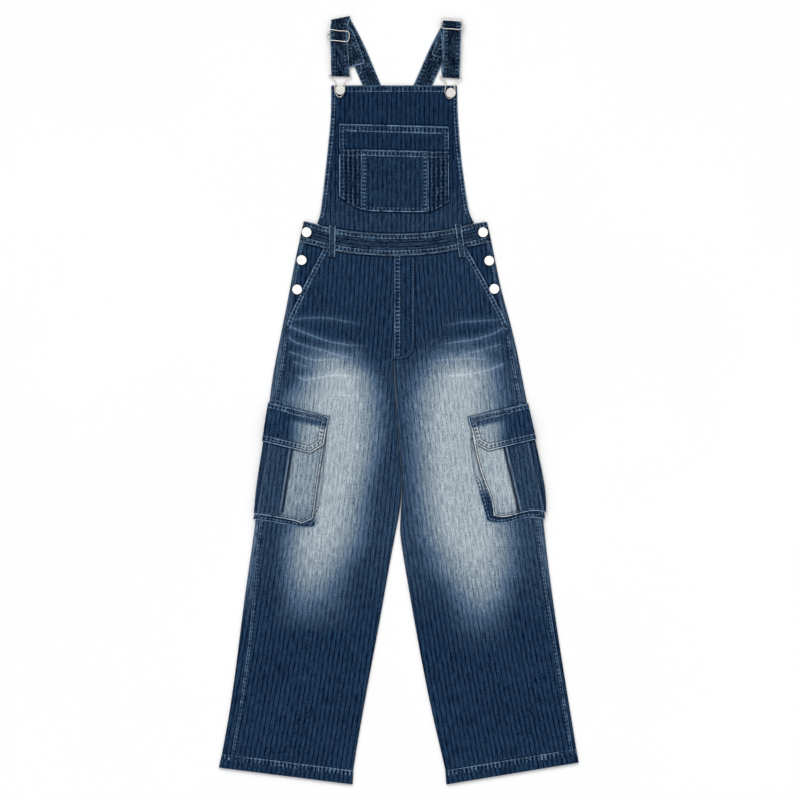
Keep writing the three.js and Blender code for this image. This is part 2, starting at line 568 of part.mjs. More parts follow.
// A cargo pocket's own outer surface at distance s from its side fold
function pleatRaise(name, s) {
  const up = smooth((s - PLEAT[name].from) / PLEAT.edge + 0.5);
  const down = smooth((PLEAT[name].to - s) / PLEAT.edge + 0.5);
  return PLEAT.raise * up * down;
}
function pocketPoint(name, s, y) {
  const cargo = CARGO[name];
  const width = legWidth(name, y, y);
  const bulge = readTable(cargo.bulge, 'y', 'x', y);
  const { inset, level } = roundEdge(s, POCKET_REACH);
  const leg = legPoint(name, y, y, width - Math.max(inset - bulge, 0), 1);
  const direction = LEG_EDGES[name].side;
  const xOuter = readTable(LEG_EDGES[name].outer, 'y', 'x', y);
  const top = leg.z + GAP + GUSSET_SPACE + CLOTH + pleatRaise(name, s);
  const foot = FLAP_LIFT * flapZone(cargo, y, Math.max(s, cargo.back));
  const middle = (top + foot) / 2;
  const z = level >= 0 ? lerp(middle, top, level) : lerp(middle, foot, -level);
  return new THREE.Vector3(xOuter + direction * (bulge - inset), y, z);
}
function pocketStations(name, reach) {
  const { from, to } = PLEAT[name];
  const half = PLEAT.edge / 2 + 0.1;
  return [CARGO[name].back, -34, -POCKET_REACH, -5, -2.2, 0, 2.2, 4.8, from - half, from + half, 29, to - half,
    to + half, 66, 79, 91, reach];
}
function cargoPocket(name) {
  const cargo = CARGO[name];
  const grid = [0, 0.15, 0.24, 0.33, 0.42, 0.6, 0.8, 1].map((t) => {
    const roughY = lerp(-60, -215, t);
    const reach = readTable(cargo.inner, 'y', 'x', roughY);
    return pocketStations(name, reach).map((s) => {
      const topY = flapTopAt(cargo, s) - POCKET_MOUTH_DROP;
      const footY = readTable(cargo.foot, 's', 'y', s);
      return pocketPoint(name, s, lerp(topY, footY, t));
    });
  });
  return wall(grid, CLOTH, UP);
}

// Flap: sewn to the leg above the pocket, then lying over the pocket, with cut corners
const FLAP_OUT = FLAP_THICK + GAP + 0.15;
const flapRaise = (s) => PLEAT.raise * smooth((s + 1) / 4) * smooth((70 - s) / 16);
function flapPoint(name, s, y) {
  const cargo = CARGO[name];
  const over = smooth((flapTopAt(cargo, s) - 6 - y) / 18);
  const bulge = over * readTable(cargo.bulge, 'y', 'x', y);
  const { inset, level } = roundEdge(s, lerp(FOLD_REACH, POCKET_REACH, over) + FLAP_OUT);
  const leg = legPoint(name, y, y, legWidth(name, y, y) - Math.max(inset - bulge - FLAP_OUT, 0), 1);
  const top = leg.z + over * (GAP + GUSSET_SPACE + CLOTH + flapRaise(s)) + FLAP_OUT + 0.15;
  const foot = 0.1;
  const middle = (top + foot) / 2;
  const xOuter = readTable(LEG_EDGES[name].outer, 'y', 'x', y);
  const z = level >= 0 ? lerp(middle, top, level) : lerp(middle, foot, -level);
  return new THREE.Vector3(xOuter + LEG_EDGES[name].side * (bulge + FLAP_OUT - inset), y, z);
}
function cargoFlap(name) {
  const cargo = CARGO[name];
  const { flap } = cargo;
  const cutAt = flap.front - flap.chamfer;
  const fold = [-10.3, -7, -3.5, 0, 3.5, 7, 10.3];
  const stations = [flap.back, -30, ...fold, 28, 47, 56, 68.3, 81.3, cutAt, flap.front - 11, flap.front];
  const grid = [0, 0.13, 0.26, 0.39, 0.7, 1].map((t) => stations.map((s) => {
    const cut = clamp01((s - cutAt) / flap.chamfer);
    return flapPoint(name, s, flapTopAt(cargo, s) - t * lerp(flap.depth, flap.innerDepth, cut));
  }));
  return wall(grid, FLAP_THICK, UP);
}

// Gusset: a strip round the pocket's inner side and foot, from under the panel down to the leg
function gussetPath(cargo) {
  const out = cargo.gussetOut;
  const reach = (y) => readTable(cargo.inner, 'y', 'x', y);
  const foot = (s) => readTable(cargo.foot, 's', 'y', s);
  const side = [-70, -110, -150, -185].map((y, k) => ({
    s: reach(y), y, outS: 1, outY: 0, out: lerp(2, out.side, k / 3),
  }));
  const corner = { s: reach(-215) - 3, y: foot(99) - 1, outS: 0.75, outY: -0.66, out: out.corner };
  const along = [84, 66, 45, 24, 10, 5, 0.4].map((s, k) => ({
    s, y: foot(s), outS: 0, outY: -1, out: out.foot - 1.2 * (k % 2),
  }));
  return [...side, corner, ...along];
}
function gussetPoint(name, s, y, q, up) {
  const bulge = readTable(CARGO[name].bulge, 'y', 'x', y);
  const out = lerp(2.8, bulge, smooth((q - 1) / 3)) * smooth((20 - s) / 12);
  const { inset, level } = roundEdge(s, FOLD_REACH + out);
  const leg = legPoint(name, y, y, legWidth(name, y, y) - Math.max(inset - out, 0), 1);
  const top = leg.z + GAP + CLOTH + up * (GUSSET_SPACE - CLOTH - 0.15);
  const middle = leg.z - LEG_LOFT / 2;
  const xOuter = readTable(LEG_EDGES[name].outer, 'y', 'x', y);
  return new THREE.Vector3(xOuter + LEG_EDGES[name].side * (out - inset), y, lerp(middle, top, level));
}
function cargoGusset(name) {
  const cargo = CARGO[name];
  const grid = gussetPath(cargo).map((p, k) => {
    const pucker = 0.5 * (k % 2);
    const rows = [
      { q: -14, up: 0.3 }, { q: -4, up: 0.36 }, { q: 1.5, up: 0.5 - 0.1 * pucker },
      { q: p.out * 0.65, up: 0.5 - 0.2 * pucker }, { q: p.out, up: 0.04 },
    ];
    return rows.map(({ q, up }) => gussetPoint(name, p.s + p.outS * q, p.y + p.outY * q, q, up));
  });
  return wall(grid, CLOTH, UP);
}

// A ribbon through stations, each with its left and right edge point on the middle surface
function ribbon(stations, thick) {
  const grid = stations.map(({ left, right }) => [left, right].map((p) => new THREE.Vector3(...p)));
  const count = grid.length;
  const normals = grid.map((row, i) => {
    const before = grid[Math.max(0, i - 1)];
    const after = grid[Math.min(count - 1, i + 1)];
    const tangent = after[0].clone().add(after[1]).sub(before[0]).sub(before[1]);
    return tangent.cross(row[1].clone().sub(row[0])).normalize();
  });
  const moved = (by) => grid.map((row, i) => row.map((p) => p.clone().addScaledVector(normals[i], by)));
  return shell(moved(thick / 2), moved(-thick / 2));
}

// Straps. Each runs up from the back bib, folds over at the top, comes down the front, turns round
// the buckle's bar, goes back up inside and ends in a tail that lies on the back part.
const LAYER = STRAP.thick + GAP;
const STRAPS = {
  left: {
    // Back part: edge points from the sewn end up to the fold
    back: [
      { left: [-38.2, 510.8], right: [-6.8, 521.2], z: 2.7 }, { left: [-49.4, 537.8], right: [-17.4, 547.6], z: 2.7 },
      { left: [-56.4, 556], right: [-23, 563], z: 1.25 }, { left: [-68.5, 586.4], right: [-35.6, 588], z: 1.2 },
      { left: [-87, 628], right: [-52.6, 632], z: 1.2 }, { left: [-106, 665], right: [-70.6, 672], z: 1.2 },
    ],
    fold: { left: [-124.6, 698.4], right: [-89.6, 705.4], top: 0, out: [-0.19, 0.98] },
    front: [
      { left: [-126.4, 691.6], right: [-94.2, 693], lift: 0 }, { left: [-126.9, 683], right: [-95.4, 679.8], lift: 0 },
      { left: [-126.8, 674.6], right: [-95.2, 671.3], lift: 2.9 }, { left: [-126.4, 666.2], right: [-94.8, 662.8], lift: 0 },
      { left: [-125.6, 645], right: [-92.8, 645], lift: 0 }, { left: [-125.2, 622], right: [-91.6, 621], lift: 0 },
      { left: [-125.1, 610], right: [-91.2, 609], lift: 0 },
    ],
    turn: { left: [-125.1, 603], right: [-91.2, 602] },
    aside: 0.2,
    innerFold: { left: [-122, 687], right: [-91, 691], out: [-0.15, 0.99] },
    tail: [
      { left: [-117, 674], right: [-84, 682] }, { left: [-107, 649], right: [-74, 658] },
      { left: [-94.4, 615], right: [-62.4, 623] },
    ],
    slider: { x: -111.6, y: 673, z: 11.9, turn: -0.105, tilt: 0, height: 18.6 },
  },
  right: {
    back: [
      { left: [1.4, 521.2], right: [32.8, 510.8], z: 2.7 }, { left: [12, 548], right: [43.8, 537.6], z: 2.7 },
      { left: [17.6, 562], right: [50.6, 555], z: 1.25 }, { left: [29.6, 587.4], right: [63.2, 586], z: 1.2 },
      { left: [45.4, 624], right: [79, 620], z: 1.2 }, { left: [62, 662], right: [96, 655], z: 1.2 },
    ],
    fold: { left: [81.2, 695.6], right: [115.2, 693.2], top: 3.1, out: [0.07, 0.997] },
    front: [
      { left: [81.4, 690.8], right: [115.2, 688.4], lift: 1.6 }, { left: [81.4, 684.4], right: [114.8, 682], lift: 0 },
      { left: [82, 672], right: [114.6, 670], lift: 0 }, { left: [82.2, 664], right: [114.6, 662], lift: 0 },
      { left: [82, 645], right: [114, 643], lift: 0 }, { left: [81.2, 620], right: [113.2, 618], lift: 0 },
      { left: [80.6, 608.4], right: [112.8, 606], lift: 0 },
    ],
    turn: { left: [80.4, 600.8], right: [112.4, 598.4] },
    aside: -2.2,
    innerFold: { left: [75.6, 684.4], right: [108, 684], out: [0.07, 0.997] },
    tail: [
      { left: [72.4, 672], right: [104.6, 664] }, { left: [66.6, 656], right: [98.6, 648] },
      { left: [60.4, 638], right: [92, 628] },
    ],
    slider: { x: 98.2, y: 695.4, z: 11.9, turn: -0.07, tilt: 0.06, height: 19.4 },
  },
};
const Z_TAIL = 1.2 + LAYER;
const Z_INNER = Z_TAIL + LAYER;
const Z_FRONT = Z_INNER + LAYER;
const BAR_Z = 4.2;
const TURN_RADIUS = WIRE + GAP + 0.15 + STRAP.thick / 2;

// Half a turn between two heights, bulging out by its radius
function halfTurn(edge, zFrom, zTo, steps) {
  const radius = Math.abs(zTo - zFrom) / 2;
  const middle = (zTo + zFrom) / 2;
  const [dx, dy] = edge.out;
  return spread(-90, 90, steps).map((degrees) => {
    const angle = THREE.MathUtils.degToRad(degrees);
    const out = radius * Math.cos(angle);
    const z = middle + Math.sign(zTo - zFrom) * radius * Math.sin(angle);
    const moved = ([x, y]) => [x + dx * out, y + dy * out, z];
    return { left: moved(edge.left), right: moved(edge.right) };
  });
}
function strap(name) {
  const s = STRAPS[name];
  const at = ({ left, right }, z, aside = 0) => (
    { left: [left[0] + aside, left[1], z], right: [right[0] + aside, right[1], z] });
  const back = s.back.map((row) => at(row, row.z));
  const front = s.front.map((row) => {
    const low = smooth((632 - row.left[1]) / 24);
    return at(row, lerp(Z_FRONT, BAR_Z + TURN_RADIUS, low) + row.lift);
  });
  const turn = halfTurn({ ...s.turn, out: [0, -1] }, BAR_Z + TURN_RADIUS, BAR_Z - TURN_RADIUS, 6);
  const rising = s.front.slice(3).reverse();
  const heights = [BAR_Z - TURN_RADIUS, BAR_Z - TURN_RADIUS + 1.4, Z_INNER, Z_INNER];
  const inner = rising.map((row, k) => at(row, heights[k], s.aside));
  const tail = s.tail.map((row) => at(row, Z_TAIL));
  return ribbon([
    ...back, ...halfTurn(s.fold, 1.2, Z_FRONT + s.fold.top, 8), ...front, ...turn, ...inner,
    ...halfTurn(s.innerFold, Z_INNER, Z_TAIL, 6), ...tail,
  ], STRAP.thick);
}

// A closed wire along a smooth loop of points
function wireLoop(points, radius, steps, sides) {
  const corners = points.map((p) => new THREE.Vector3(...p));
  const curve = new THREE.CatmullRomCurve3(corners, true, 'centripetal');
  const frames = curve.computeFrenetFrames(steps, true);
  const ring = [];
  for (let i = 0; i < steps; i += 1) {
    const centre = curve.getPointAt(i / steps);
    for (let k = 0; k < sides; k += 1) {
      const angle = (k / sides) * 2 * Math.PI;
      ring.push(centre.clone()
        .addScaledVector(frames.normals[i], radius * Math.cos(angle))
        .addScaledVector(frames.binormals[i], radius * Math.sin(angle)));
    }
  }
  const triangles = [];
  for (let i = 0; i < steps; i += 1) {
    for (let k = 0; k < sides; k += 1) {
      const [a, b] = [i * sides, ((i + 1) % steps) * sides];
      const next = (k + 1) % sides;
      triangles.push(a + k, b + k, b + next, a + k, b + next, a + next);
    }
  }
  return solidGeometry(ring, triangles);
}

// Buckle: a wire with a straight bar at the top and a keyhole that hooks under the button
const BUCKLE = [
  { x: -19.4, y: 0, z: 0 }, { x: -10, y: 0, z: 0 }, { x: 0, y: 0, z: 0 }, { x: 10, y: 0, z: 0 }, { x: 19.4, y: 0, z: 0 },
  { x: 20.9, y: -2.6, z: 0.2 }, { x: 17.4, y: -6.8, z: 0.5 }, { x: 10.8, y: -10.2, z: 1 }, { x: 7.6, y: -14.4, z: 1.5 },
  { x: 8.4, y: -21, z: 2 }, { x: 9.4, y: -29, z: 2.2 }, { x: 6, y: -37.6, z: 2.2 }, { x: 0, y: -43, z: 2.2 },
  { x: -6, y: -37.6, z: 2.2 }, { x: -9.4, y: -29, z: 2.2 }, { x: -8.4, y: -21, z: 2 }, { x: -7.6, y: -14.4, z: 1.5 },
  { x: -10.8, y: -10.2, z: 1 }, { x: -17.4, y: -6.8, z: 0.5 }, { x: -20.9, y: -2.6, z: 0.2 },
];
const RING_RISE = 2.2;
const HOOKS = {
  left: { x: -108.2, y: 602.4, turn: -0.03, buttonX: -108.2, buttonY: 573.4 },
  right: { x: 96.3, y: 599.6, turn: -0.06, buttonX: 96.2, buttonY: 567.8 },
};
function buckle(name) {
  const { x, y, turn } = HOOKS[name];
  const points = BUCKLE.map((p) => [
    x + p.x * Math.cos(turn) - p.y * Math.sin(turn), y + p.x * Math.sin(turn) + p.y * Math.cos(turn), BAR_Z + p.z,
  ]);
  return wireLoop(points, WIRE, 44, 6);
}

// Strap slider: a flat frame of wire with a lower middle bar that the strap runs over
const SLIDER = { halfWidth: 19.8, corner: 2.5, drop: 2.2 };
function toManifold(geometry) {
  const { array } = geometry.getAttribute('position');
  const mesh = new wasm.Mesh({ numProp: 3, vertProperties: array, triVerts: new Uint32Array(geometry.index.array) });
  return new wasm.Manifold(mesh);
}
function fromManifold(solid) {
  const mesh = solid.getMesh();
  const geometry = new THREE.BufferGeometry();
  geometry.setAttribute('position', new THREE.BufferAttribute(mesh.vertProperties, 3));
  geometry.setIndex(new THREE.BufferAttribute(mesh.triVerts, 1));
  return geometry;
}
function slider(name) {
  const { x, y, z, turn, tilt, height } = STRAPS[name].slider;
  const [w, h, c] = [SLIDER.halfWidth, height / 2, SLIDER.corner];
  const placed = ([px, py, pz]) => {
    const [ty, tz] = [py * Math.cos(tilt) + pz * Math.sin(tilt), pz * Math.cos(tilt) - py * Math.sin(tilt)];
    return [x + px * Math.cos(turn) - ty * Math.sin(turn), y + px * Math.sin(turn) + ty * Math.cos(turn), z + tz];
  };
  const frame = [[-w + c, h, 0], [0, h, 0], [w - c, h, 0], [w, h - c, 0], [w, 0, 0], [w, -h + c, 0], [w - c, -h, 0],
    [0, -h, 0], [-w + c, -h, 0], [-w, -h + c, 0], [-w, 0, 0], [-w, h - c, 0]].map(placed);
  const loop = toManifold(wireLoop(frame, WIRE, 32, 6));
  const { drop } = SLIDER;
  const bar = [[-w, 0, 0], [-w + 1.6, 0, -drop], [0, 0, -drop], [w - 1.6, 0, -drop], [w, 0, 0]].map(placed);
  const path = new THREE.CatmullRomCurve3(bar.map((p) => new THREE.Vector3(...p)), false, 'centripetal');
  const section = new THREE.Shape(spread(0, 2 * Math.PI, 6).slice(0, 6)
    .map((angle) => new THREE.Vector2(0.95 * WIRE * Math.cos(angle), 0.95 * WIRE * Math.sin(angle))));
  const rod = new THREE.ExtrudeGeometry(section, { steps: 12, bevelEnabled: false, extrudePath: path });
  return fromManifold(loop.add(mergedSolid(rod)));
}

// A manifold from a three.js geometry whose vertices are not shared yet
function mergedSolid(geometry) {
  const { array } = geometry.getAttribute('position');
  const found = new Map();
  const vertices = [];
  const triangles = [];
  for (let i = 0; i < array.length; i += 3) {
    const key = [0, 1, 2].map((k) => Math.round(array[i + k] * 1e4)).join(',');
    if (!found.has(key)) {
      found.set(key, vertices.length / 3);
      vertices.push(array[i], array[i + 1], array[i + 2]);
    }
    triangles.push(found.get(key));
  }
  const order = geometry.index ? Array.from(geometry.index.array, (i) => triangles[i]) : triangles;
  const mesh = new wasm.Mesh({
    numProp: 3, vertProperties: new Float32Array(vertices), triVerts: new Uint32Array(order),
  });
  return new wasm.Manifold(mesh);
}

// Metal button: a dished cap on a shank
function buttonGeometry(shank) {
  const { radius, cap } = BUTTON;
  const profile = [
    [0, 0], [BUTTON.shank, 0], [BUTTON.shank, shank], [radius - 1, shank], [radius, shank + 0.9],
    [radius - 0.5, shank + cap - 0.5], [radius - 1.8, shank + cap], [radius - 3, shank + cap - 0.5],
    [0, shank + cap - 0.2],
  ];
  const lathe = new THREE.LatheGeometry(profile.map(([r, z]) => new THREE.Vector2(r, z)), 14);
  return fromManifold(mergedSolid(lathe.rotateX(Math.PI / 2)));
}

// Side buttons, down each hip: the first on the waistband, two on the facing
const SIDE_BUTTONS = {
  left: [{ x: -170.4, y: 310.2 }, { x: -179.4, y: 258.9 }, { x: -187.8, y: 204.6 }],
  right: [{ x: 155.8, y: 310.2 }, { x: 167.2, y: 257.8 }, { x: 176.6, y: 205.6 }],
};
const SIDE_SHANK = { onBand: 0.6, onFacing: 1.9 };

// The highest point of a surface under a button's foot
function seatOver(heightOf, x, y) {
  const reach = BUTTON.shank + 0.2;
  const turns = spread(0, 2 * Math.PI, 12);
  const around = turns.map((angle) => heightOf(x + reach * Math.cos(angle), y + reach * Math.sin(angle)));
  return Math.max(heightOf(x, y), ...around) + GAP;
}

// The whole garment
const dungarees = new THREE.Group();
function add(name, geometry, material) {
  const mesh = new THREE.Mesh(geometry, material);
  mesh.name = name;
  dungarees.add(mesh);
  return mesh;
}

for (const name of ['left', 'right']) {
  add(`leg_back_${name}`, legBack(name), denim());
  add(`leg_front_${name}`, legFront(name), faded());
  add(`hip_facing_${name}`, hipFacing(name), denim());
  add(`cargo_pocket_${name}`, cargoPocket(name), denim());
  add(`cargo_gusset_${name}`, cargoGusset(name), denimDark());
  add(`cargo_flap_${name}`, cargoFlap(name), denim());
  add(`strap_${name}`, strap(name), denimDark());
  add(`buckle_${name}`, buckle(name), metal());
  add(`slider_${name}`, slider(name), metal());
  const { buttonX, buttonY } = HOOKS[name];
  const seat = seatOver(bibTop, buttonX, buttonY);
  const capFoot = BAR_Z + RING_RISE + WIRE + GAP + 0.1;
  add(`bib_button_${name}`, buttonGeometry(capFoot - seat), metal()).position.set(buttonX, buttonY, seat);
  SIDE_BUTTONS[name].forEach(({ x, y }, k) => {
    const base = (k === 0 ? BAND_LOFT : LEG_LOFT - FACING_DROP) + GAP;
    const shank = k === 0 ? SIDE_SHANK.onBand : SIDE_SHANK.onFacing;
    add(`side_button_${name}_${k + 1}`, buttonGeometry(shank), metal()).position.set(x, y, base);
  });
}
add('waistband_front', waistband(true), denimDark());
add('waistband_back', waistband(false), denimDark());
add('bib_front', bibFront(), denim());
add('bib_back', bibBack(), denim());
add('bib_pocket_back', bibPocket(BIB_POCKET.upper, 0), denim());
add('bib_pocket_front', bibPocket(BIB_POCKET.lower, 1), denim());
add('fly', fly(), denim());
for (const loop of LOOPS) add(loop.name, beltLoop(loop), denimDark());

export default dungarees;
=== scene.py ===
"""Looks of the denim cargo dungarees, laid flat on their back and seen from straight above."""

from __future__ import annotations

import json
import logging
import math
from dataclasses import dataclass, field
from enum import Enum
from typing import Callable, Sequence

import bmesh
import bpy
import numpy as np
from mathutils import Matrix, Vector
from mathutils.bvhtree import BVHTree
from mathutils.kdtree import KDTree

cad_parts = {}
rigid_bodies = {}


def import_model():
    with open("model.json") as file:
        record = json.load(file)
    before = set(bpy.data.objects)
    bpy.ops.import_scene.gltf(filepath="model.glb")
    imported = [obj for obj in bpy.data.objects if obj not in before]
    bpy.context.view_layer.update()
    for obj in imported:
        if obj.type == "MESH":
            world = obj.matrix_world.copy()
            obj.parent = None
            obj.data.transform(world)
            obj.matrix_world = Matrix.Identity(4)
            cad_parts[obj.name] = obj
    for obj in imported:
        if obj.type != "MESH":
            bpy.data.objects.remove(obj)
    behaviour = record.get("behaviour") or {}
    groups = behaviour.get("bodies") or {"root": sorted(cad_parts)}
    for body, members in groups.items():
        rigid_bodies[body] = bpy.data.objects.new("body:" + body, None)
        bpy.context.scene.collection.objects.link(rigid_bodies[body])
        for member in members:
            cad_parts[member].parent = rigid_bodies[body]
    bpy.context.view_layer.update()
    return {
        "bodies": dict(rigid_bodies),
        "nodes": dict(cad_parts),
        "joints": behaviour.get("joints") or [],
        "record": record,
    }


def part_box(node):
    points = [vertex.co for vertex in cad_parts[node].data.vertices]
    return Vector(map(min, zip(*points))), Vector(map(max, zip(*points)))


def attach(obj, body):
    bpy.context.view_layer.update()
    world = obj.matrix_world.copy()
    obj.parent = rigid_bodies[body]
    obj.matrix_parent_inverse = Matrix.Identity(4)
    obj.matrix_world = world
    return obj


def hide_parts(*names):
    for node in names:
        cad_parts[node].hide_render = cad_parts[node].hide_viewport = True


LOG = logging.getLogger("dungarees")

MM = 0.001
PIXEL = 1.85 * MM  # real size of one pixel of the photograph
ORIGIN_PX = (398.75, 400.25)  # the pixel that shows the garment's origin
IMAGE_PX = 800
CAMERA_HEIGHT = 6.0
SENSOR = 36.0
STRIPE_PERIOD = 8.35  # mm between the dark stripes of the denim
FAR = 99.0  # mm, stands for "no such edge on this piece"
SPOT_STEP = 0.7 * MM  # from one measured spot of an outline to the next
ABOVE = 0.1  # a height over the whole garment, in metres
DOWN = Vector((0, 0, -1))

Colour = tuple[float, float, float]
Points = np.ndarray


def srgb(red: int, green: int, blue: int) -> Colour:
    """Turns display values from 0 to 255 into the linear values that a shader takes.

    Args:
        red: Red display value.
        green: Green display value.
        blue: Blue display value.

    Returns:
        The linear colour.
    """
    def linear(value: int) -> float:
        """Linear light of one display value."""
        share = value / 255
        return share / 12.92 if share <= 0.04045 else ((share + 0.055) / 1.055) ** 2.4

    return linear(red), linear(green), linear(blue)


def smooth(low: float, high: float, value: Points | float) -> Points:
    """Smooth step from 0 at low to 1 at high, for arrays too."""
    share = np.clip((np.asarray(value, float) - low) / (high - low), 0.0, 1.0)
    return share * share * (3 - 2 * share)


class Side(Enum):
    """The two sides of the garment, as seen from above."""

    LEFT = "left"
    RIGHT = "right"

    @property
    def sign(self) -> int:
        """-1 for the left side, at -X, and 1 for the right one."""
        return -1 if self is Side.LEFT else 1


class Value:
    """A shader value that is worked on with Python's own operators."""

    def __init__(self, graph: "Graph", socket: bpy.types.NodeSocket) -> None:
        """Wraps an output socket of a graph."""
        self.graph = graph
        self.socket = socket

    def math(self, operation: str, *others: "Value | float") -> "Value":
        """Adds one Math node.

        Args:
            operation: The node's operation.
            others: The values after this one.

        Returns:
            The node's result.
        """
        sockets = {0: self, **{k + 1: other for k, other in enumerate(others)}}
        return self.graph.out("ShaderNodeMath", {"operation": operation}, sockets)

    def __add__(self, other: "Value | float") -> "Value":
        """Sum."""
        return self.math("ADD", other)

    __radd__ = __add__

    def __mul__(self, other: "Value | float") -> "Value":
        """Product."""
        return self.math("MULTIPLY", other)

    __rmul__ = __mul__

    def __sub__(self, other: "Value | float") -> "Value":
        """Difference."""
        return self.math("SUBTRACT", other)

    def __rsub__(self, other: float) -> "Value":
        """Difference from a number."""
        return self * -1.0 + other

    def __truediv__(self, other: "Value | float") -> "Value":
        """Quotient."""
        return self.math("DIVIDE", other)

    def fract(self) -> "Value":
        """Part after the decimal point."""
        return self.math("FRACT")

    def abs(self) -> "Value":
        """Size without sign."""
        return self.math("ABSOLUTE")

    def clamp(self) -> "Value":
        """Value held between 0 and 1."""
        return self.math("MAXIMUM", 0.0).math("MINIMUM", 1.0)

    def rise(self, low: float, high: float) -> "Value":
        """Smooth step from 0 at low to 1 at high."""
        sockets = {"Value": self, "From Min": low, "From Max": high}
        return self.graph.out("ShaderNodeMapRange", {"interpolation_type": "SMOOTHSTEP"}, sockets)


class Graph:
    """The node tree of one material."""

    def __init__(self, material: bpy.types.Material) -> None:
        """Empties the material's tree."""
        material.use_nodes = True
        self.tree = material.node_tree
        self.tree.nodes.clear()

    def node(self, kind: str, settings: dict | None = None, sockets: dict | None = None) -> bpy.types.Node:
        """Adds a node.

        Args:
            kind: The node's type.
            settings: Its properties, set first.
            sockets: Values or links of its inputs, by name or number.

        Returns:
            The new node.
        """
        made = self.tree.nodes.new(kind)
        for name, value in (settings or {}).items():
            setattr(made, name, value)
        for key, value in (sockets or {}).items():
            if isinstance(value, Value):
                self.tree.links.new(value.socket, made.inputs[key])
            elif isinstance(value, tuple) and len(value) == 3 and made.inputs[key].type == "RGBA":
                made.inputs[key].default_value = (*value, 1.0)
            else:
                made.inputs[key].default_value = value
        return made

    def out(self, kind: str, settings: dict | None = None, sockets: dict | None = None,
            output: int | str = 0) -> Value:
        """Adds a node and wraps one of its outputs."""
        return Value(self, self.node(kind, settings, sockets).outputs[output])

    def mix(self, share: Value | float, first: Value | Colour, second: Value | Colour) -> Value:
        """Blends two colours; share 0 gives the first."""
        settings = {"data_type": "RGBA", "clamp_factor": True}
        return self.out("ShaderNodeMix", settings, {0: share, 6: first, 7: second}, 2)

    def noise(self, vector: Value, scale: float, detail: float = 2.0, rough: float = 0.5) -> Value:
        """Noise around 0, from about -0.5 to 0.5."""
        sockets = {"Vector": vector, "Scale": scale, "Detail": detail, "Roughness": rough}
        return self.out("ShaderNodeTexNoise", {"noise_dimensions": "3D"}, sockets, 0) - 0.5

    def attribute(self, name: str) -> Value:
        """A number stored on the mesh."""
        return self.out("ShaderNodeAttribute", {"attribute_name": name}, {}, "Fac")

    def vector(self, x: Value, y: Value, z: Value | float = 0.0) -> Value:
        """Three numbers as one vector."""
        return self.out("ShaderNodeCombineXYZ", {}, {0: x, 1: y, 2: z})

    def finish(self, base: Value | Colour, roughness: Value | float, height: Value, depth: float,
               constants: dict) -> None:
        """Adds the shader, its bump and the output.

        Args:
            base: Base colour.
            roughness: Roughness.
            height: Bump height.
            depth: Bump distance in metres.
            constants: Other sockets of the shader, set on it.
        """
        bump = self.out("ShaderNodeBump", {}, {"Height": height, "Strength": 0.6, "Distance": depth})
        sockets = {"Base Color": base, "Roughness": roughness, "Normal": bump, **constants}
        shader = self.out("ShaderNodeBsdfPrincipled", {}, sockets)
        self.node("ShaderNodeOutputMaterial", {}, {"Surface": shader})


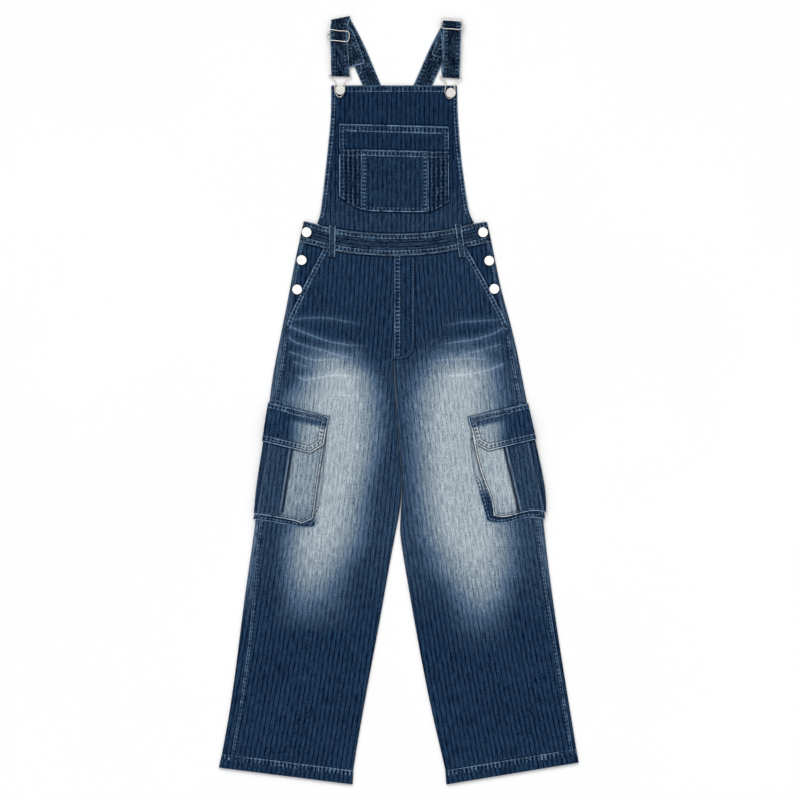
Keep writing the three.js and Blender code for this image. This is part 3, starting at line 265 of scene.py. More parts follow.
@dataclass(frozen=True)
class Denim:
    """Striped indigo denim with fades, whiskers, roped hems, folds and worn edges, with painted shade and
    highlights on its puckers, folds and pleats, and painted shadow beside its seams and under what lies on
    it.
    """

    name: str
    deep: Colour = srgb(0, 12, 36)
    pale: Colour = srgb(40, 66, 95)
    stripe: float = 0.6
    contrast: float = 1.3
    worn_low: Colour = srgb(44, 70, 98)
    worn_high: Colour = srgb(90, 114, 139)
    bleach_low: Colour = srgb(98, 116, 131)
    bleach_high: Colour = srgb(188, 201, 206)
    edge_dark: Colour = srgb(116, 150, 184)
    edge_pale: Colour = srgb(214, 222, 227)

    def material(self) -> bpy.types.Material:
        """Builds the material.

        Returns:
            The material, which reads the UV map "cloth" and the mesh's own numbers.
        """
        made = bpy.data.materials.new(self.name)
        graph = Graph(made)
        uv = graph.out("ShaderNodeUVMap", {"uv_map": "cloth"}, {})
        split = graph.node("ShaderNodeSeparateXYZ", {}, {0: uv})
        across, along = (Value(graph, split.outputs[k]) for k in (0, 1))
        place = graph.out("ShaderNodeTexCoord", {}, {}, "Object")

        slub = graph.noise(graph.vector(across, along * 0.12), 430, 1, 0.5)
        fleck = graph.noise(place, 640, 1, 0.5)
        twill = graph.noise(graph.vector(across + along * 0.6, along * 0.5), 1000, 1, 0.5)
        cloud = graph.noise(place, 13, 3, 0.55)
        patch = graph.noise(place, 75, 2, 0.6)

        wander = graph.noise(graph.vector(across * 0.5, along), 45, 1) * 0.1
        phase = (across * (1 / (STRIPE_PERIOD * MM)) + wander).fract() - 0.5
        broken = graph.noise(graph.vector(across, along * 0.5), 110, 2, 0.6)
        line = (1 - phase.abs().rise(0.04, 0.22)) * (broken * 0.7 + 0.98).clamp()
        grain = (slub * 1.15 + fleck * 1.5 + twill * 0.4) * self.contrast

        fade = graph.attribute("fade")
        tone = grain + cloud * 0.35 + 0.61 - line * self.stripe + fade.math("MINIMUM", 0.0)
        colour = graph.mix(tone.clamp(), self.deep, self.pale)
        ragged = fade + (grain * 0.5 - line * 0.14 + patch * 0.15) * (fade * (1.1 - fade) * 1.6)
        worn = graph.mix((grain * 0.9 + 0.6 - line * 0.4).clamp(), self.worn_low, self.worn_high)
        colour = graph.mix((ragged * (1 / 0.24)).clamp(), colour, worn)
        light = graph.mix((grain * 0.9 + 0.64 - line * 0.2).clamp(), self.bleach_low, self.bleach_high)
        colour = graph.mix(((ragged - 0.24) * (1 / 0.76)).clamp(), colour, light)
        edge = graph.mix(fade.clamp(), self.edge_dark, self.edge_pale)

        colour = self._painted_seam_and_cover_shadow(graph, colour, patch)
        colour = self._wear_lines_and_painted_shadow(graph, colour, edge, line, fleck, patch)
        colour, rope = self._hem_wear_and_painted_light(graph, colour, edge, fleck, patch)
        colour, groove = self._fold_wear_and_painted_light(graph, colour, edge, along, fleck, patch)
        height = grain * 0.5 - line * 0.5 + rope * 1.6 + groove * 1.6
        constants = {"Specular IOR Level": 0.02}
        graph.finish(colour, fleck * 0.1 + 0.9, height, 0.5 * MM, constants)
        return made

    def _painted_seam_and_cover_shadow(self, graph: Graph, colour: Value, patch: Value) -> Value:
        """Darkens the cloth with painted shade beside its seams, and with painted shadow along the outlines
        of what lies on it.
        """
        seam, under = graph.attribute("seam_mm"), graph.attribute("cover_shadow_mm")
        # Painted shade beside the seams, plus painted shadow along the outlines of the pieces that lie on
        # this one.
        dark = (1 - seam.rise(0.3, 3.2)) * 0.4 + (1 - under.rise(1.0, 5.0)) * (patch * 0.5 + 0.7)
        return graph.mix(dark.clamp(), colour, self.deep)

    def _wear_lines_and_painted_shadow(self, graph: Graph, colour: Value, edge: Value, line: Value, fleck: Value,
              patch: Value) -> Value:
        """Draws the wear lines: a soft glow, a thin pale core, and for some a band of painted shadow beside
        it.

        Args:
            graph: The material's tree.
            colour: The cloth's colour so far.
            edge: Colour of rubbed cloth.
            line: The dark stripes.
            fleck: Fine noise.
            patch: Coarse noise.

        Returns:
            The new colour.
        """
        gap = graph.attribute("line_mm")
        beside = gap - 4.6 - patch * 6.0
        # A painted shadow band beside the line, used at the pleat edges.
        shade = (1 - beside.abs().rise(2.0, 5.6)) * graph.attribute("painted_line_shadow")
        colour = graph.mix(shade.clamp(), colour, self.deep)
        glow = graph.attribute("glow") * (fleck + patch * 0.8 + 0.9 - line * 0.3)
        colour = graph.mix(glow.clamp(), colour, edge)
        core = (1 - (gap.abs() + patch * 1.6).rise(0.4, 2.4)) * (fleck * 1.6 + patch * 0.8 + 0.8 - line * 0.5)
        return graph.mix((core * graph.attribute("line")).clamp(), colour, edge)

    def _hem_wear_and_painted_light(self, graph: Graph, colour: Value, edge: Value, fleck: Value,
               patch: Value) -> tuple[Value, Value]:
        """Adds the hems: a worn edge with a painted shadow just inside it, slanted puckers drawn as painted
        shade and highlight, a painted shadow just past the stitch line, and a ridge at the stitch line that
        is partly rubbed wear and partly painted highlight.

        Args:
            graph: The material's tree.
            colour: The cloth's colour so far.
            edge: Colour of rubbed cloth, also used for painted highlights.
            fleck: Fine noise.
            patch: Coarse noise.

        Returns:
            The new colour, and the height of the puckers.
        """
        inset, hem, reach = (graph.attribute(name) for name in ("edge_mm", "hem_mm", "reach_mm"))
        bright, pucker, rub = (graph.attribute(name) for name in ("bright", "pucker", "rub"))
        past = inset - hem
        turns = graph.attribute("run_mm") * (1 / 7.3) + patch * 0.6 + fleck * 0.15
        beat = (turns * math.tau).math("SINE")
        band = (past + reach).rise(0.0, 1.6) * (1 - past.rise(-1.1, -0.2))
        beyond = past.rise(0.8, 1.8) * (1 - past.rise(2.0, 5.0)) * 0.4
        ladder = (band + beyond) * pucker
        # Painted shade between the puckers.
        between = ladder * (fleck * 2.0 + patch - beat * 0.7 + 0.4) * 0.8
        colour = graph.mix(between.clamp(), colour, self.deep)
        # Pale tops of the puckers: partly rubbed wear, partly painted highlight.
        shine = ladder * (beat.rise(0.3, 1.0) * 0.8 + fleck * 3.0 - 0.1) * (patch * 4.0 + 0.6) * 0.7
        colour = graph.mix(shine.clamp(), colour, edge)
        # Painted shadow just past the stitch line.
        groove = past.rise(0.5, 1.1) * (1 - past.rise(1.5, 3.6)) * pucker
        colour = graph.mix((groove * 0.75).clamp(), colour, self.deep)
        # Ridge at the stitch line: partly rubbed wear, partly painted highlight.
        ridge = (1 - past.abs().rise(0.5, 1.6)) * (beat * 0.3 + fleck * 2.4 + patch * 2.4 + 0.6) * bright
        colour = graph.mix(ridge.clamp(), colour, edge)
        # Painted shadow just inside the worn edge.
        shadow = inset.rise(1.2, 2.0) * (1 - inset.rise(2.4, 4.2)) * rub * (patch + 0.8)
        colour = graph.mix(shadow.clamp(), colour, self.deep)
        rubbed = (1 - inset.rise(0.9, 2.3)) * (patch * 3.4 + fleck * 2.4 + 0.85) * rub
        return graph.mix(rubbed.clamp(), colour, edge), ladder * beat

    def _fold_wear_and_painted_light(self, graph: Graph, colour: Value, edge: Value, along: Value, fleck: Value,
                patch: Value) -> tuple[Value, Value]:
        """Adds pressed folds: a rubbed ridge with short puckers inside it drawn as painted shade and
        highlight, and gathered cloth outside drawn as painted shade with painted highlights on the gathers.

        Args:
            graph: The material's tree.
            colour: The cloth's colour so far.
            edge: Colour of rubbed cloth, also used for painted highlights.
            along: Coordinate along the grain, in metres.
            fleck: Fine noise.
            patch: Coarse noise.

        Returns:
            The new colour, and the depth of the gathers.
        """
        gap, depth = graph.attribute("fold_mm"), graph.attribute("fold")
        beat = ((along * (1 / (7.2 * MM)) + gap * 0.02 + patch * 0.7 + fleck * 0.3) * math.tau).math("SINE")
        rows = ((gap * (1 / 8.6) + patch * 0.9 + fleck * 0.3) * math.tau).math("SINE")
        outer = (gap * -1).rise(1.0, 3.0) * (1 - (gap * -1).rise(34.0, 40.0)) * depth
        # Painted shade of the gathered cloth outside the fold.
        dark = outer * (patch * 2.4 + fleck * 1.6 - rows * 0.4 - beat * 0.15 + 0.6)
        colour = graph.mix(dark.clamp(), colour, self.deep)
        # Painted highlights on the gathers.
        shine = rows.rise(0.2, 1.0) * 0.6 + fleck * 2.0 + beat * 0.1 - 0.1
        gathers = outer * shine * (patch * 3.4 + 0.45) * 0.55
        colour = graph.mix(gathers.clamp(), colour, edge)
        # Puckers inside the fold, drawn as painted shade and highlight.
        beside = gap.rise(1.8, 2.8) * (1 - gap.rise(7.0, 9.5)) * depth
        colour = graph.mix((beside * (0.1 - beat + fleck) * 0.5).clamp(), colour, self.deep)
        colour = graph.mix((beside * (beat.rise(0.2, 1.0) + fleck) * 0.4).clamp(), colour, edge)
        ridge = (1 - gap.abs().rise(0.2, 1.0)) * (fleck * 1.6 + patch * 1.6 + 0.36) * depth
        return graph.mix(ridge.clamp(), colour, edge), outer * (rows * 0.5 + beat * 0.3)


@dataclass(frozen=True)
class Nickel:
    """Bright plated metal with fine scuffs."""

    name: str
    colour: Colour = (0.72, 0.7, 0.66)
    roughness: float = 0.3

    def material(self) -> bpy.types.Material:
        """Builds the material."""
        made = bpy.data.materials.new(self.name)
        graph = Graph(made)
        place = graph.out("ShaderNodeTexCoord", {}, {}, "Object")
        scuff = graph.noise(place, 900, 3, 0.6)
        patch = graph.noise(place, 160, 2, 0.5)
        base = graph.mix((patch * 2.4 + 0.6).clamp(), tuple(c * 0.78 for c in self.colour), self.colour)
        graph.finish(base, scuff * 0.25 + self.roughness, scuff + patch, 0.05 * MM, {"Metallic": 1.0})
        return made


@dataclass(frozen=True)
class Thread:
    """Blue-grey sewing thread, paler where the cloth is bleached."""

    name: str
    dark: Colour = srgb(28, 50, 78)
    colour: Colour = srgb(134, 164, 192)
    bleached: Colour = srgb(226, 233, 236)

    def material(self) -> bpy.types.Material:
        """Builds the material."""
        made = bpy.data.materials.new(self.name)
        graph = Graph(made)
        place = graph.out("ShaderNodeTexCoord", {}, {}, "Object")
        twist = graph.noise(place, 1500, 2, 0.6)
        patch = graph.noise(place, 90, 2, 0.6)
        base = graph.mix((patch * 2.8 + twist * 0.8 + 0.5).clamp(), self.dark, self.colour)
        base = graph.mix((graph.attribute("fade") * 1.1).clamp(), base, self.bleached)
        graph.finish(base, 0.8, twist, 0.1 * MM, {"Specular IOR Level": 0.15})
        return made


@dataclass(frozen=True)
class Paper:
    """Plain white floor."""

    name: str = "floor_white"

    def material(self) -> bpy.types.Material:
        """Builds the material."""
        made = bpy.data.materials.new(self.name)
        graph = Graph(made)
        place = graph.out("ShaderNodeTexCoord", {}, {}, "Object")
        cloud = graph.noise(place, 2.0, 2, 0.5)
        base = graph.mix((cloud + 0.5).clamp(), (0.93, 0.93, 0.93), (0.95, 0.95, 0.95))
        graph.finish(base, 0.95, cloud, 0.1 * MM, {"Specular IOR Level": 0.0})
        return made


def grain_across(x: Points, y: Points, side: Side | None) -> Points:
    """Coordinate across the stripes, in mm, for a leg whose stripes lean outwards and spread downwards.

    Args:
        x: Places in mm.
        y: Heights in mm.
        side: The leg, or none for a piece whose grain runs straight.

    Returns:
        The coordinate in mm.
    """
    if side is None:
        return x / 1.04
    down = 250 - y
    bend = 1.0 if side is Side.LEFT else 1.14
    middle = side.sign * (100 + bend * (0.06 * down + 0.000065 * down**2))
    return (x - middle) / (1 + 0.09 * (np.clip(down, 0, None) / 960) ** 2)


@dataclass(frozen=True)
class Fade:
    """A bleached thigh.

    Attributes:
        side: The leg that it is on.
        rows: From the top down, in mm: height, centre from the garment's middle, half widths inwards
            and outwards; then the strength.
        veil: A faint fade all over the thigh.
    """

    side: Side
    rows: tuple[tuple[float, float, float, float, float], ...]
    veil: float = 0.042

    def at(self, x: Points, y: Points) -> Points:
        """Strength of the fade at points of the front, from 0 to 1."""
        height, *columns = (np.array(column) for column in zip(*self.rows))
        order = np.argsort(height)
        centre, inner, outer, strength = (np.interp(y, height[order], column[order]) for column in columns)
        out = x * self.side.sign - centre
        reach = np.abs(out) / np.where(out > 0, outer, inner)
        veil = self.veil * smooth(-440, -240, y) * (1 - smooth(30, 110, y) * 0.85)
        return veil + strength * (1 - smooth(0.0, 2.0, reach))


FADES = {
    Side.LEFT: Fade(Side.LEFT, (
        (110, 122, 42, 40, 0.0), (98, 122, 42, 42, 0.09), (75, 125, 40, 36, 0.47), (47, 107, 42, 46, 1.0),
        (0, 108, 50, 66, 1.1), (-65, 111, 52, 64, 1.12), (-120, 112, 46, 62, 1.1), (-175, 122, 44, 60, 1.02),
        (-230, 133, 48, 46, 0.96), (-258, 149, 54, 43, 0.98), (-286, 157, 54, 38, 0.84),
        (-314, 160, 44, 37, 0.72), (-342, 168, 48, 34, 0.48), (-370, 171, 48, 30, 0.28),
        (-400, 172, 50, 36, 0.11), (-430, 160, 50, 44, 0.0),
    )),
    Side.RIGHT: Fade(Side.RIGHT, (
        (120, 122, 60, 50, 0.0), (98, 122, 50, 52, 0.13), (75, 119, 48, 40, 0.47), (47, 117, 54, 46, 0.94),
        (0, 102, 52, 58, 1.07), (-65, 101, 50, 62, 1.1), (-120, 110, 54, 62, 1.15), (-175, 112, 52, 60, 1.16),
        (-230, 124, 56, 56, 1.15), (-258, 136, 60, 52, 1.12), (-286, 143, 56, 48, 0.93),
        (-314, 150, 58, 44, 0.8), (-342, 150, 44, 40, 0.64), (-370, 152, 40, 38, 0.44),
        (-400, 150, 34, 34, 0.2), (-436, 146, 34, 40, 0.04), (-470, 146, 34, 40, 0.0),
    ), veil=0.07),
}


@dataclass(frozen=True)
class WearLine:
    """A pale line that wear has left along a soft ridge, from its strong end to its weak one.

    Attributes:
        points: Listed points of the curve, in mm.
        strength: How pale it is.
        wide: Half width of its glow, in mm.
        glow: Share of the strength that the glow has.
        high: Height of the ridge for a strength of 1, in mm.
        dark: Strength of a band of painted shadow beside it.
        fades_from: Share of its length from which it fades out.
        upright: Whether it runs along the garment rather than across.
    """

    points: tuple[tuple[float, float], ...]
    strength: float = 0.5
    wide: float = 6.5
    glow: float = 0.34
    high: float = 1.0
    dark: float = 0.0
    fades_from: float = 0.6
    upright: bool = False

    def curve(self) -> Points:
        """The smooth curve as 80 points in mm."""
        knots = np.array(self.points, float)
        steps = np.concatenate([[0], np.cumsum(np.linalg.norm(np.diff(knots, axis=0), axis=1))])
        fine = np.linspace(0, steps[-1], 80)
        curve = np.stack([np.interp(fine, steps, knots[:, k]) for k in (0, 1)], 1)
        for _ in range(10):
            curve[1:-1] = (curve[:-2] + 2 * curve[1:-1] + curve[2:]) / 4
        return curve

    def near(self, x: Points, y: Points) -> tuple[Points, Points]:
        """Finds how far points are from the line, and how strong it is beside them.

        Args:
            x: Places in mm.
            y: Heights in mm.

        Returns:
            Distances in mm, and shares of the full strength.
        """
        curve = self.curve()
        start, way = curve[:-1], np.diff(curve, axis=0)
        offset = np.stack([x, y], 1)[:, None, :] - start
        share = np.clip((offset * way).sum(2) / (way * way).sum(1), 0, 1)
        gap = np.linalg.norm(offset - share[..., None] * way, axis=2)
        piece = gap.argmin(1)
        along = (piece + np.take_along_axis(share, piece[:, None], 1)[:, 0]) / len(way)
        return gap.min(1), smooth(0.0, 0.08, along) * (1 - smooth(self.fades_from, 1.0, along))

    def passed(self, x: Points, y: Points) -> Points:
        """Whether points lie past the line, which runs straight on beyond its ends."""
        across, along = (x, y) if self.upright else (y, x)
        curve = self.curve()[:, ::-1] if self.upright else self.curve()
        curve = curve[np.argsort(curve[:, 0])]
        return across > np.interp(along, curve[:, 0], curve[:, 1])


def wear_numbers(lines: Sequence[WearLine], x: Points, y: Points) -> dict[str, Points]:
    """What the material needs to draw wear lines, for each point.

    Args:
        lines: The wear lines of the piece.
        x: Places in mm.
        y: Heights in mm.

    Returns:
        The glow, the signed distance from the nearest line, which changes its sign at each line, and
        the strengths of the line and of its band of painted shadow.
    """
    glow, power, dark = (np.zeros(len(x)) for _ in range(3))
    best = np.full(len(x), FAR)
    passed = np.zeros(len(x), int)
    if lines:
        spots = np.concatenate([line.curve() for line in lines])
        inside = ((x > spots[:, 0].min() - 20) & (x < spots[:, 0].max() + 20)
                  & (y > spots[:, 1].min() - 20) & (y < spots[:, 1].max() + 20))
        for line in lines:
            gap, share = np.full(len(x), FAR), np.zeros(len(x))
            gap[inside], share[inside] = line.near(x[inside], y[inside])
            glow = np.maximum(glow, line.glow * line.strength * share * np.exp(-((gap / line.wide) ** 2)))
            closer = gap < best
            power = np.where(closer, line.strength * share, power)
            dark = np.where(closer, line.dark * share, dark)
            best = np.minimum(best, gap)
            passed += line.passed(x, y)
    near = 1 - smooth(5, 9, best)
    return {"glow": glow, "line_mm": best * np.where(passed % 2 == 1, -1, 1), "line": power * near,
            "painted_line_shadow": dark * near}


WHISKERS = {
    Side.LEFT: (
        WearLine(((-201, 147), (-183, 151), (-151, 153), (-123, 151), (-90, 144), (-53, 137)), 0.3),
        WearLine(((-206, 139), (-192, 132), (-169, 123), (-146, 114), (-123, 107), (-90, 102), (-49, 100)),
                 0.55),
        WearLine(((-209, 130), (-204, 116), (-192, 107), (-169, 100), (-136, 91), (-109, 82), (-81, 77),
                  (-53, 74)), 0.5),
        WearLine(((-206, 91), (-192, 86), (-173, 79), (-155, 74), (-127, 75), (-99, 73)), 0.45,
                 fades_from=0.85),
        WearLine(((-197, 73), (-183, 66), (-164, 61)), 0.3),
        WearLine(((-192, 47), (-173, 37), (-146, 42), (-118, 47), (-90, 45), (-72, 39)), 0.6,
                 fades_from=0.85),
        WearLine(((-118, 12), (-90, 8), (-68, 12)), 0.4, fades_from=0.85),
    ),
    Side.RIGHT: (
        WearLine(((189, 149), (121, 145), (69, 136)), 0.3),
        WearLine(((198, 137), (176, 123), (144, 113), (108, 108), (63, 100)), 0.55),
        WearLine(((191, 104), (154, 93), (104, 81)), 0.42),
        WearLine(((167, 74), (134, 78), (86, 75), (45, 69)), 0.4),
        WearLine(((198, 69), (167, 56), (134, 49), (82, 43)), 0.6, fades_from=0.85),
    ),
}


@dataclass(frozen=True)
class Crease:
    """A soft ridge or trough: centre, direction, length, width and height, in mm and degrees."""

    x: float
    y: float
    turn: float
    long: float
    wide: float
    high: float

    def at(self, x: Points, y: Points) -> Points:
        """Height of the crease at points, in mm."""
        angle = math.radians(self.turn)
        along = (x - self.x) * math.cos(angle) + (y - self.y) * math.sin(angle)
        across = (y - self.y) * math.cos(angle) - (x - self.x) * math.sin(angle)
        return self.high * np.exp(-((along / self.long) ** 2) - (across / self.wide) ** 2)


@dataclass(frozen=True)
class Stretch:
    """Part of a piece's outline, as a box in mm, and whether it runs across or along the garment."""

    left: float = -400
    foot: float = -800
    right: float = 400
    top: float = 800
    way: str = "any"

    def takes(self, edge: "RimEdge") -> bool:
        """Whether an edge of the outline belongs to the stretch."""
        middle = (edge.start + edge.end) / (2 * MM)
        way = edge.end - edge.start
        inside = self.left <= middle.x <= self.right and self.foot <= middle.y <= self.top
        return inside and (self.way == "any" or (abs(way.y) > abs(way.x)) == (self.way == "along"))


@dataclass(frozen=True)
class Hem:
    """A hem or sewn edge with its rows of stitches, all sizes in mm.

    Attributes:
        stretch: The part of the outline that it follows.
        insets: Distances of its rows of stitches from the edge.
        wide: Distance of the stitch line that the puckers end at.
        reach: Length of the puckers, from that line towards the edge.
        bright: How pale its stitch line is, partly rubbed wear and partly painted highlight.
        pucker: How strong its puckers are, drawn as painted shade and highlight.
        rub: How pale its worn edge is, and how dark the painted shadow just inside it.
    """

    stretch: Stretch
    insets: tuple[float, ...] = (2.4, 7.4)
    wide: float = 7.4
    reach: float = 6.0
    bright: float = 0.6
    pucker: float = 0.7
    rub: float = 0.6


@dataclass
class RimEdge:
    """One short edge of a piece's outline."""

    start: Vector
    end: Vector
    inward: Vector
    faces_up: bool

    def spots(self) -> list[Vector]:
        """Points along the edge, less than a millimetre apart."""
        steps = max(1, int((self.end - self.start).length / SPOT_STEP))
        return [self.start.lerp(self.end, k / steps) for k in range(steps + 1)]


@dataclass
class Cloth:
    """A cut and sewn piece of cloth: a thin shell on the form of its solid, with its creases and wear.

    Attributes:
        node: The solid that it stands for, and the piece's own name.
        slot: The record's material slot.
        flat: Width and length of the cut, in metres; not used.
        levels: How often the form is subdivided.
        side: The leg whose grain it follows, if any.
        rests_on: What it lies on; not used.
        hems: Its hems and topstitched edges.
        creases: Its soft ridges and troughs.
        rows: Free rows of stitches, as points in mm.
        folds: Pressed folds from left to right, each as two points in mm.
        fading: Strength of the fade at points; below 0 the cloth is darker than elsewhere.
        wear: Its wear lines, some with a band of painted shadow beside them.
        covers: Solids that lie on it, whose outlines get a painted shadow on it.
        sharp: Angle in degrees past which an edge of the form stays sharp.
        ribbon: Whether the stripes follow the piece's own edges.
        pitch: From one stitch to the next, in mm.
        thread: Radius of the thread, in mm.
    """

    node: str
    slot: str
    flat: tuple[float, float]
    levels: int = 3
    side: Side | None = None
    rests_on: tuple[str, ...] = ()
    hems: tuple[Hem, ...] = ()
    creases: tuple[Crease, ...] = ()
    rows: tuple[tuple[tuple[float, float], ...], ...] = ()
    folds: tuple[tuple[tuple[float, float], tuple[float, float]], ...] = ()
    fading: Callable[[Points, Points], Points] | None = None
    wear: tuple[WearLine, ...] = ()
    covers: tuple[str, ...] = ()
    sharp: float = 41.0
    ribbon: bool = False
    pitch: float = 5.2
    thread: float = 0.5
    obj: bpy.types.Object | None = field(default=None, init=False)
    rim: list[RimEdge] = field(default_factory=list, init=False)

    def build(self, frame: dict, material: bpy.types.Material) -> bpy.types.Object:
        """Makes the piece from its solid.

        Args:
            material: The piece's denim.

        Returns:
            The finished object.
        """
        self.obj = subdivided_copy(frame["nodes"][self.node], self.node + "_cloth", self.levels, self.sharp)
        self.obj.data.materials.clear()
        self.obj.data.materials.append(material)
        self.rim = find_rim(self.obj, self.sharp)
        self._settle()
        self._measure(frame)
        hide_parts(self.node)
        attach(self.obj, "root")
        return self.obj

    def _points(self) -> Points:
        """All vertices of the piece, in mm."""
        mesh = self.obj.data
        values = np.empty(len(mesh.vertices) * 3)
        mesh.vertices.foreach_get("co", values)
        return values.reshape(-1, 3) / MM

    def _settle(self) -> None:
        """Moves the shell up and down by its creases, but not at its seams."""
        if not self.creases and not self.wear:
            return
        points = self._points()
        x, y = points[:, 0], points[:, 1]
        rise = sum((crease.at(x, y) for crease in self.creases), np.zeros(len(points)))
        for line in self.wear:
            close = np.abs(y - line.curve()[:, 1].mean()) < 150
            gap, share = line.near(x[close], y[close])
            rise[close] += line.high * line.strength * share * np.exp(-((gap / 4.0) ** 2))
        spots = [spot for edge in self.rim for spot in edge.spots()]
        points[:, 2] += rise * smooth(1.0, 16.0, nearest(points, spots)[0])
        self.obj.data.vertices.foreach_set("co", (points * MM).ravel())
        self.obj.data.update()

    def hem_chains(self, hem: Hem) -> list[list[tuple[Vector, Vector]]]:
        """The edges of the outline that a hem follows, joined end to end."""
        return chained([edge for edge in self.rim if edge.faces_up and hem.stretch.takes(edge)])

    def _hem_numbers(self, points: Points) -> dict[str, Points]:
        """What the material needs to draw the hems, for each vertex."""
        spots, numbers = [], []
        for hem in self.hems:
            for chain in self.hem_chains(hem):
                run = 0.0
                for (start, _), (end, _) in zip(chain, chain[1:]):
                    steps = max(1, int((end - start).length / SPOT_STEP))
                    for k in range(steps):
                        spots.append(start.lerp(end, k / steps))
                        length = (run + (end - start).length * k / steps) / MM
                        numbers.append((length, hem.wide, hem.reach, hem.bright, hem.pucker, hem.rub))
                    run += (end - start).length
        names = ("run_mm", "hem_mm", "reach_mm", "bright", "pucker", "rub")
        if not spots:
            return {"edge_mm": np.full(len(points), FAR), **{name: np.zeros(len(points)) for name in names}}
        distance, index = nearest(points, spots)
        table = np.array(numbers)[index]
        return {"edge_mm": distance, **{name: table[:, k] for k, name in enumerate(names)}}

    def _fold_numbers(self, x: Points, y: Points) -> dict[str, Points]:
        """Signed distance from the pressed folds, which changes sign at each, and their strength."""
        if not self.folds:
            return {"fold_mm": np.full(len(x), FAR), "fold": np.zeros(len(x))}
        gaps = np.stack([line_distance(x, y, *fold) for fold in self.folds])
        passed = np.zeros(len(x), int)
        for fold in self.folds:
            heights, places = zip(*sorted((point[1], point[0]) for point in fold))
            passed += x > np.interp(y, heights, places)
        return {"fold_mm": gaps.min(0) * np.where(passed % 2 == 1, 1, -1), "fold": np.ones(len(x))}

    def _measure(self, frame: dict) -> None:
        """Stores what the material reads: the grain as a UV map, and the wear as numbers.
        """
        points = self._points()
        x, y = points[:, 0], points[:, 1]
        seam = nearest(points, [spot for edge in self.rim for spot in edge.spots()])[0]
        numbers = {
            "fade": self.fading(x, y) if self.fading else np.zeros(len(points)),
            "seam_mm": seam, "cover_shadow_mm": self._cover_distance(frame, points),
            **wear_numbers(self.wear, x, y), **self._hem_numbers(points), **self._fold_numbers(x, y),
        }
        for name, values in numbers.items():
            made = self.obj.data.attributes.new(name, "FLOAT", "POINT")
            made.data.foreach_set("value", values.astype(np.float32))
        across, along = (seam * 1.3, x + y) if self.ribbon else (grain_across(x, y, self.side), y)
        write_uv(self.obj.data, across * MM, along * MM)

    def _cover_distance(self, frame: dict, points: Points) -> Points:
        """Distance in plan from the outlines of what lies on the piece, in mm, which places its painted
        shadow.
        """
        spots = []
        surface = BVHTree.FromObject(self.obj, bpy.context.evaluated_depsgraph_get()) if self.covers else None
        for name in self.covers:
            for edge in find_rim(frame["nodes"][name], self.sharp):
                top = dropped(surface, edge.start)[0]
                if edge.faces_up and (top is None or edge.start.z > top.z - 0.4 * MM):
                    spots += edge.spots()
        flat = [Vector((spot.x, spot.y, 0)) for spot in spots]
        return nearest(points * (1, 1, 0), flat)[0]


def find_rim(obj: bpy.types.Object, sharp: float) -> list[RimEdge]:
    """Finds the sharp edges of a piece's outline.

    Args:
        obj: The piece.
        sharp: Angle in degrees past which an edge is sharp.

    Returns:
        The edges, each with the direction inwards and whether it is seen from above.
    """
    mesh = bmesh.new()
    mesh.from_mesh(obj.data)
    bmesh.ops.remove_doubles(mesh, verts=mesh.verts, dist=0.02 * MM)
    tree = BVHTree.FromBMesh(mesh)
    rim = []
    for edge in mesh.edges:
        if len(edge.link_faces) != 2 or edge.calc_face_angle(0.0) < math.radians(sharp):
            continue
        wall, sheet = sorted(edge.link_faces, key=lambda face: abs(face.normal.z))
        middle = (edge.verts[0].co + edge.verts[1].co) / 2
        inward = Vector((-wall.normal.x, -wall.normal.y, 0.0))
        seen = False
        if sheet.normal.z > 0.4 and inward.length > 0.2:
            inward.normalize()
            probe = middle + inward * MM
            hit = dropped(tree, probe)[0]
            seen = hit is not None and abs(hit.z - middle.z) < 2 * MM
        rim.append(RimEdge(edge.verts[0].co.copy(), edge.verts[1].co.copy(), inward, seen))
    mesh.free()
    return rim


def dropped(surface: BVHTree, spot: Vector) -> tuple:
    """What a plumb line through a spot first meets from above: place, normal, face and distance."""
    return surface.ray_cast(Vector((spot.x, spot.y, ABOVE)), DOWN)


def nearest(points: Points, spots: list[Vector]) -> tuple[Points, Points]:
    """Finds the nearest spot to each point.

    Args:
        points: Points in mm.
        spots: Spots in metres.

    Returns:
        Distances in mm, and the spots' numbers.
    """
    if not spots:
        return np.full(len(points), FAR), np.zeros(len(points), int)
    tree = KDTree(len(spots))
    for k, spot in enumerate(spots):
        tree.insert(spot, k)
    tree.balance()
    found = [tree.find(point)[1:] for point in points * MM]
    return np.array([distance for _, distance in found]) / MM, np.array([index for index, _ in found])


def line_distance(x: Points, y: Points, start: Sequence[float], end: Sequence[float]) -> Points:
    """Distance of points from a straight line between two points, all in mm."""
    way = np.array(end, float) - np.array(start, float)
    share = ((x - start[0]) * way[0] + (y - start[1]) * way[1]) / (way @ way)
    share = np.clip(share, 0, 1)
    return np.hypot(x - start[0] - share * way[0], y - start[1] - share * way[1])


def write_uv(mesh: bpy.types.Mesh, across: Points, along: Points) -> None:
    """Stores the grain's coordinates, in metres, as the UV map "cloth"."""
    corners = np.empty(len(mesh.loops), np.int32)
    mesh.loops.foreach_get("vertex_index", corners)
    for layer in list(mesh.uv_layers):
        mesh.uv_layers.remove(layer)
    layer = mesh.uv_layers.new(name="cloth")
    layer.data.foreach_set("uv", np.stack([across[corners], along[corners]], 1).astype(np.float32).ravel())


def only(obj: bpy.types.Object) -> None:
    """Selects one object alone and makes it the active one."""
    bpy.ops.object.select_all(action="DESELECT")
    obj.select_set(True)
    bpy.context.view_layer.objects.active = obj


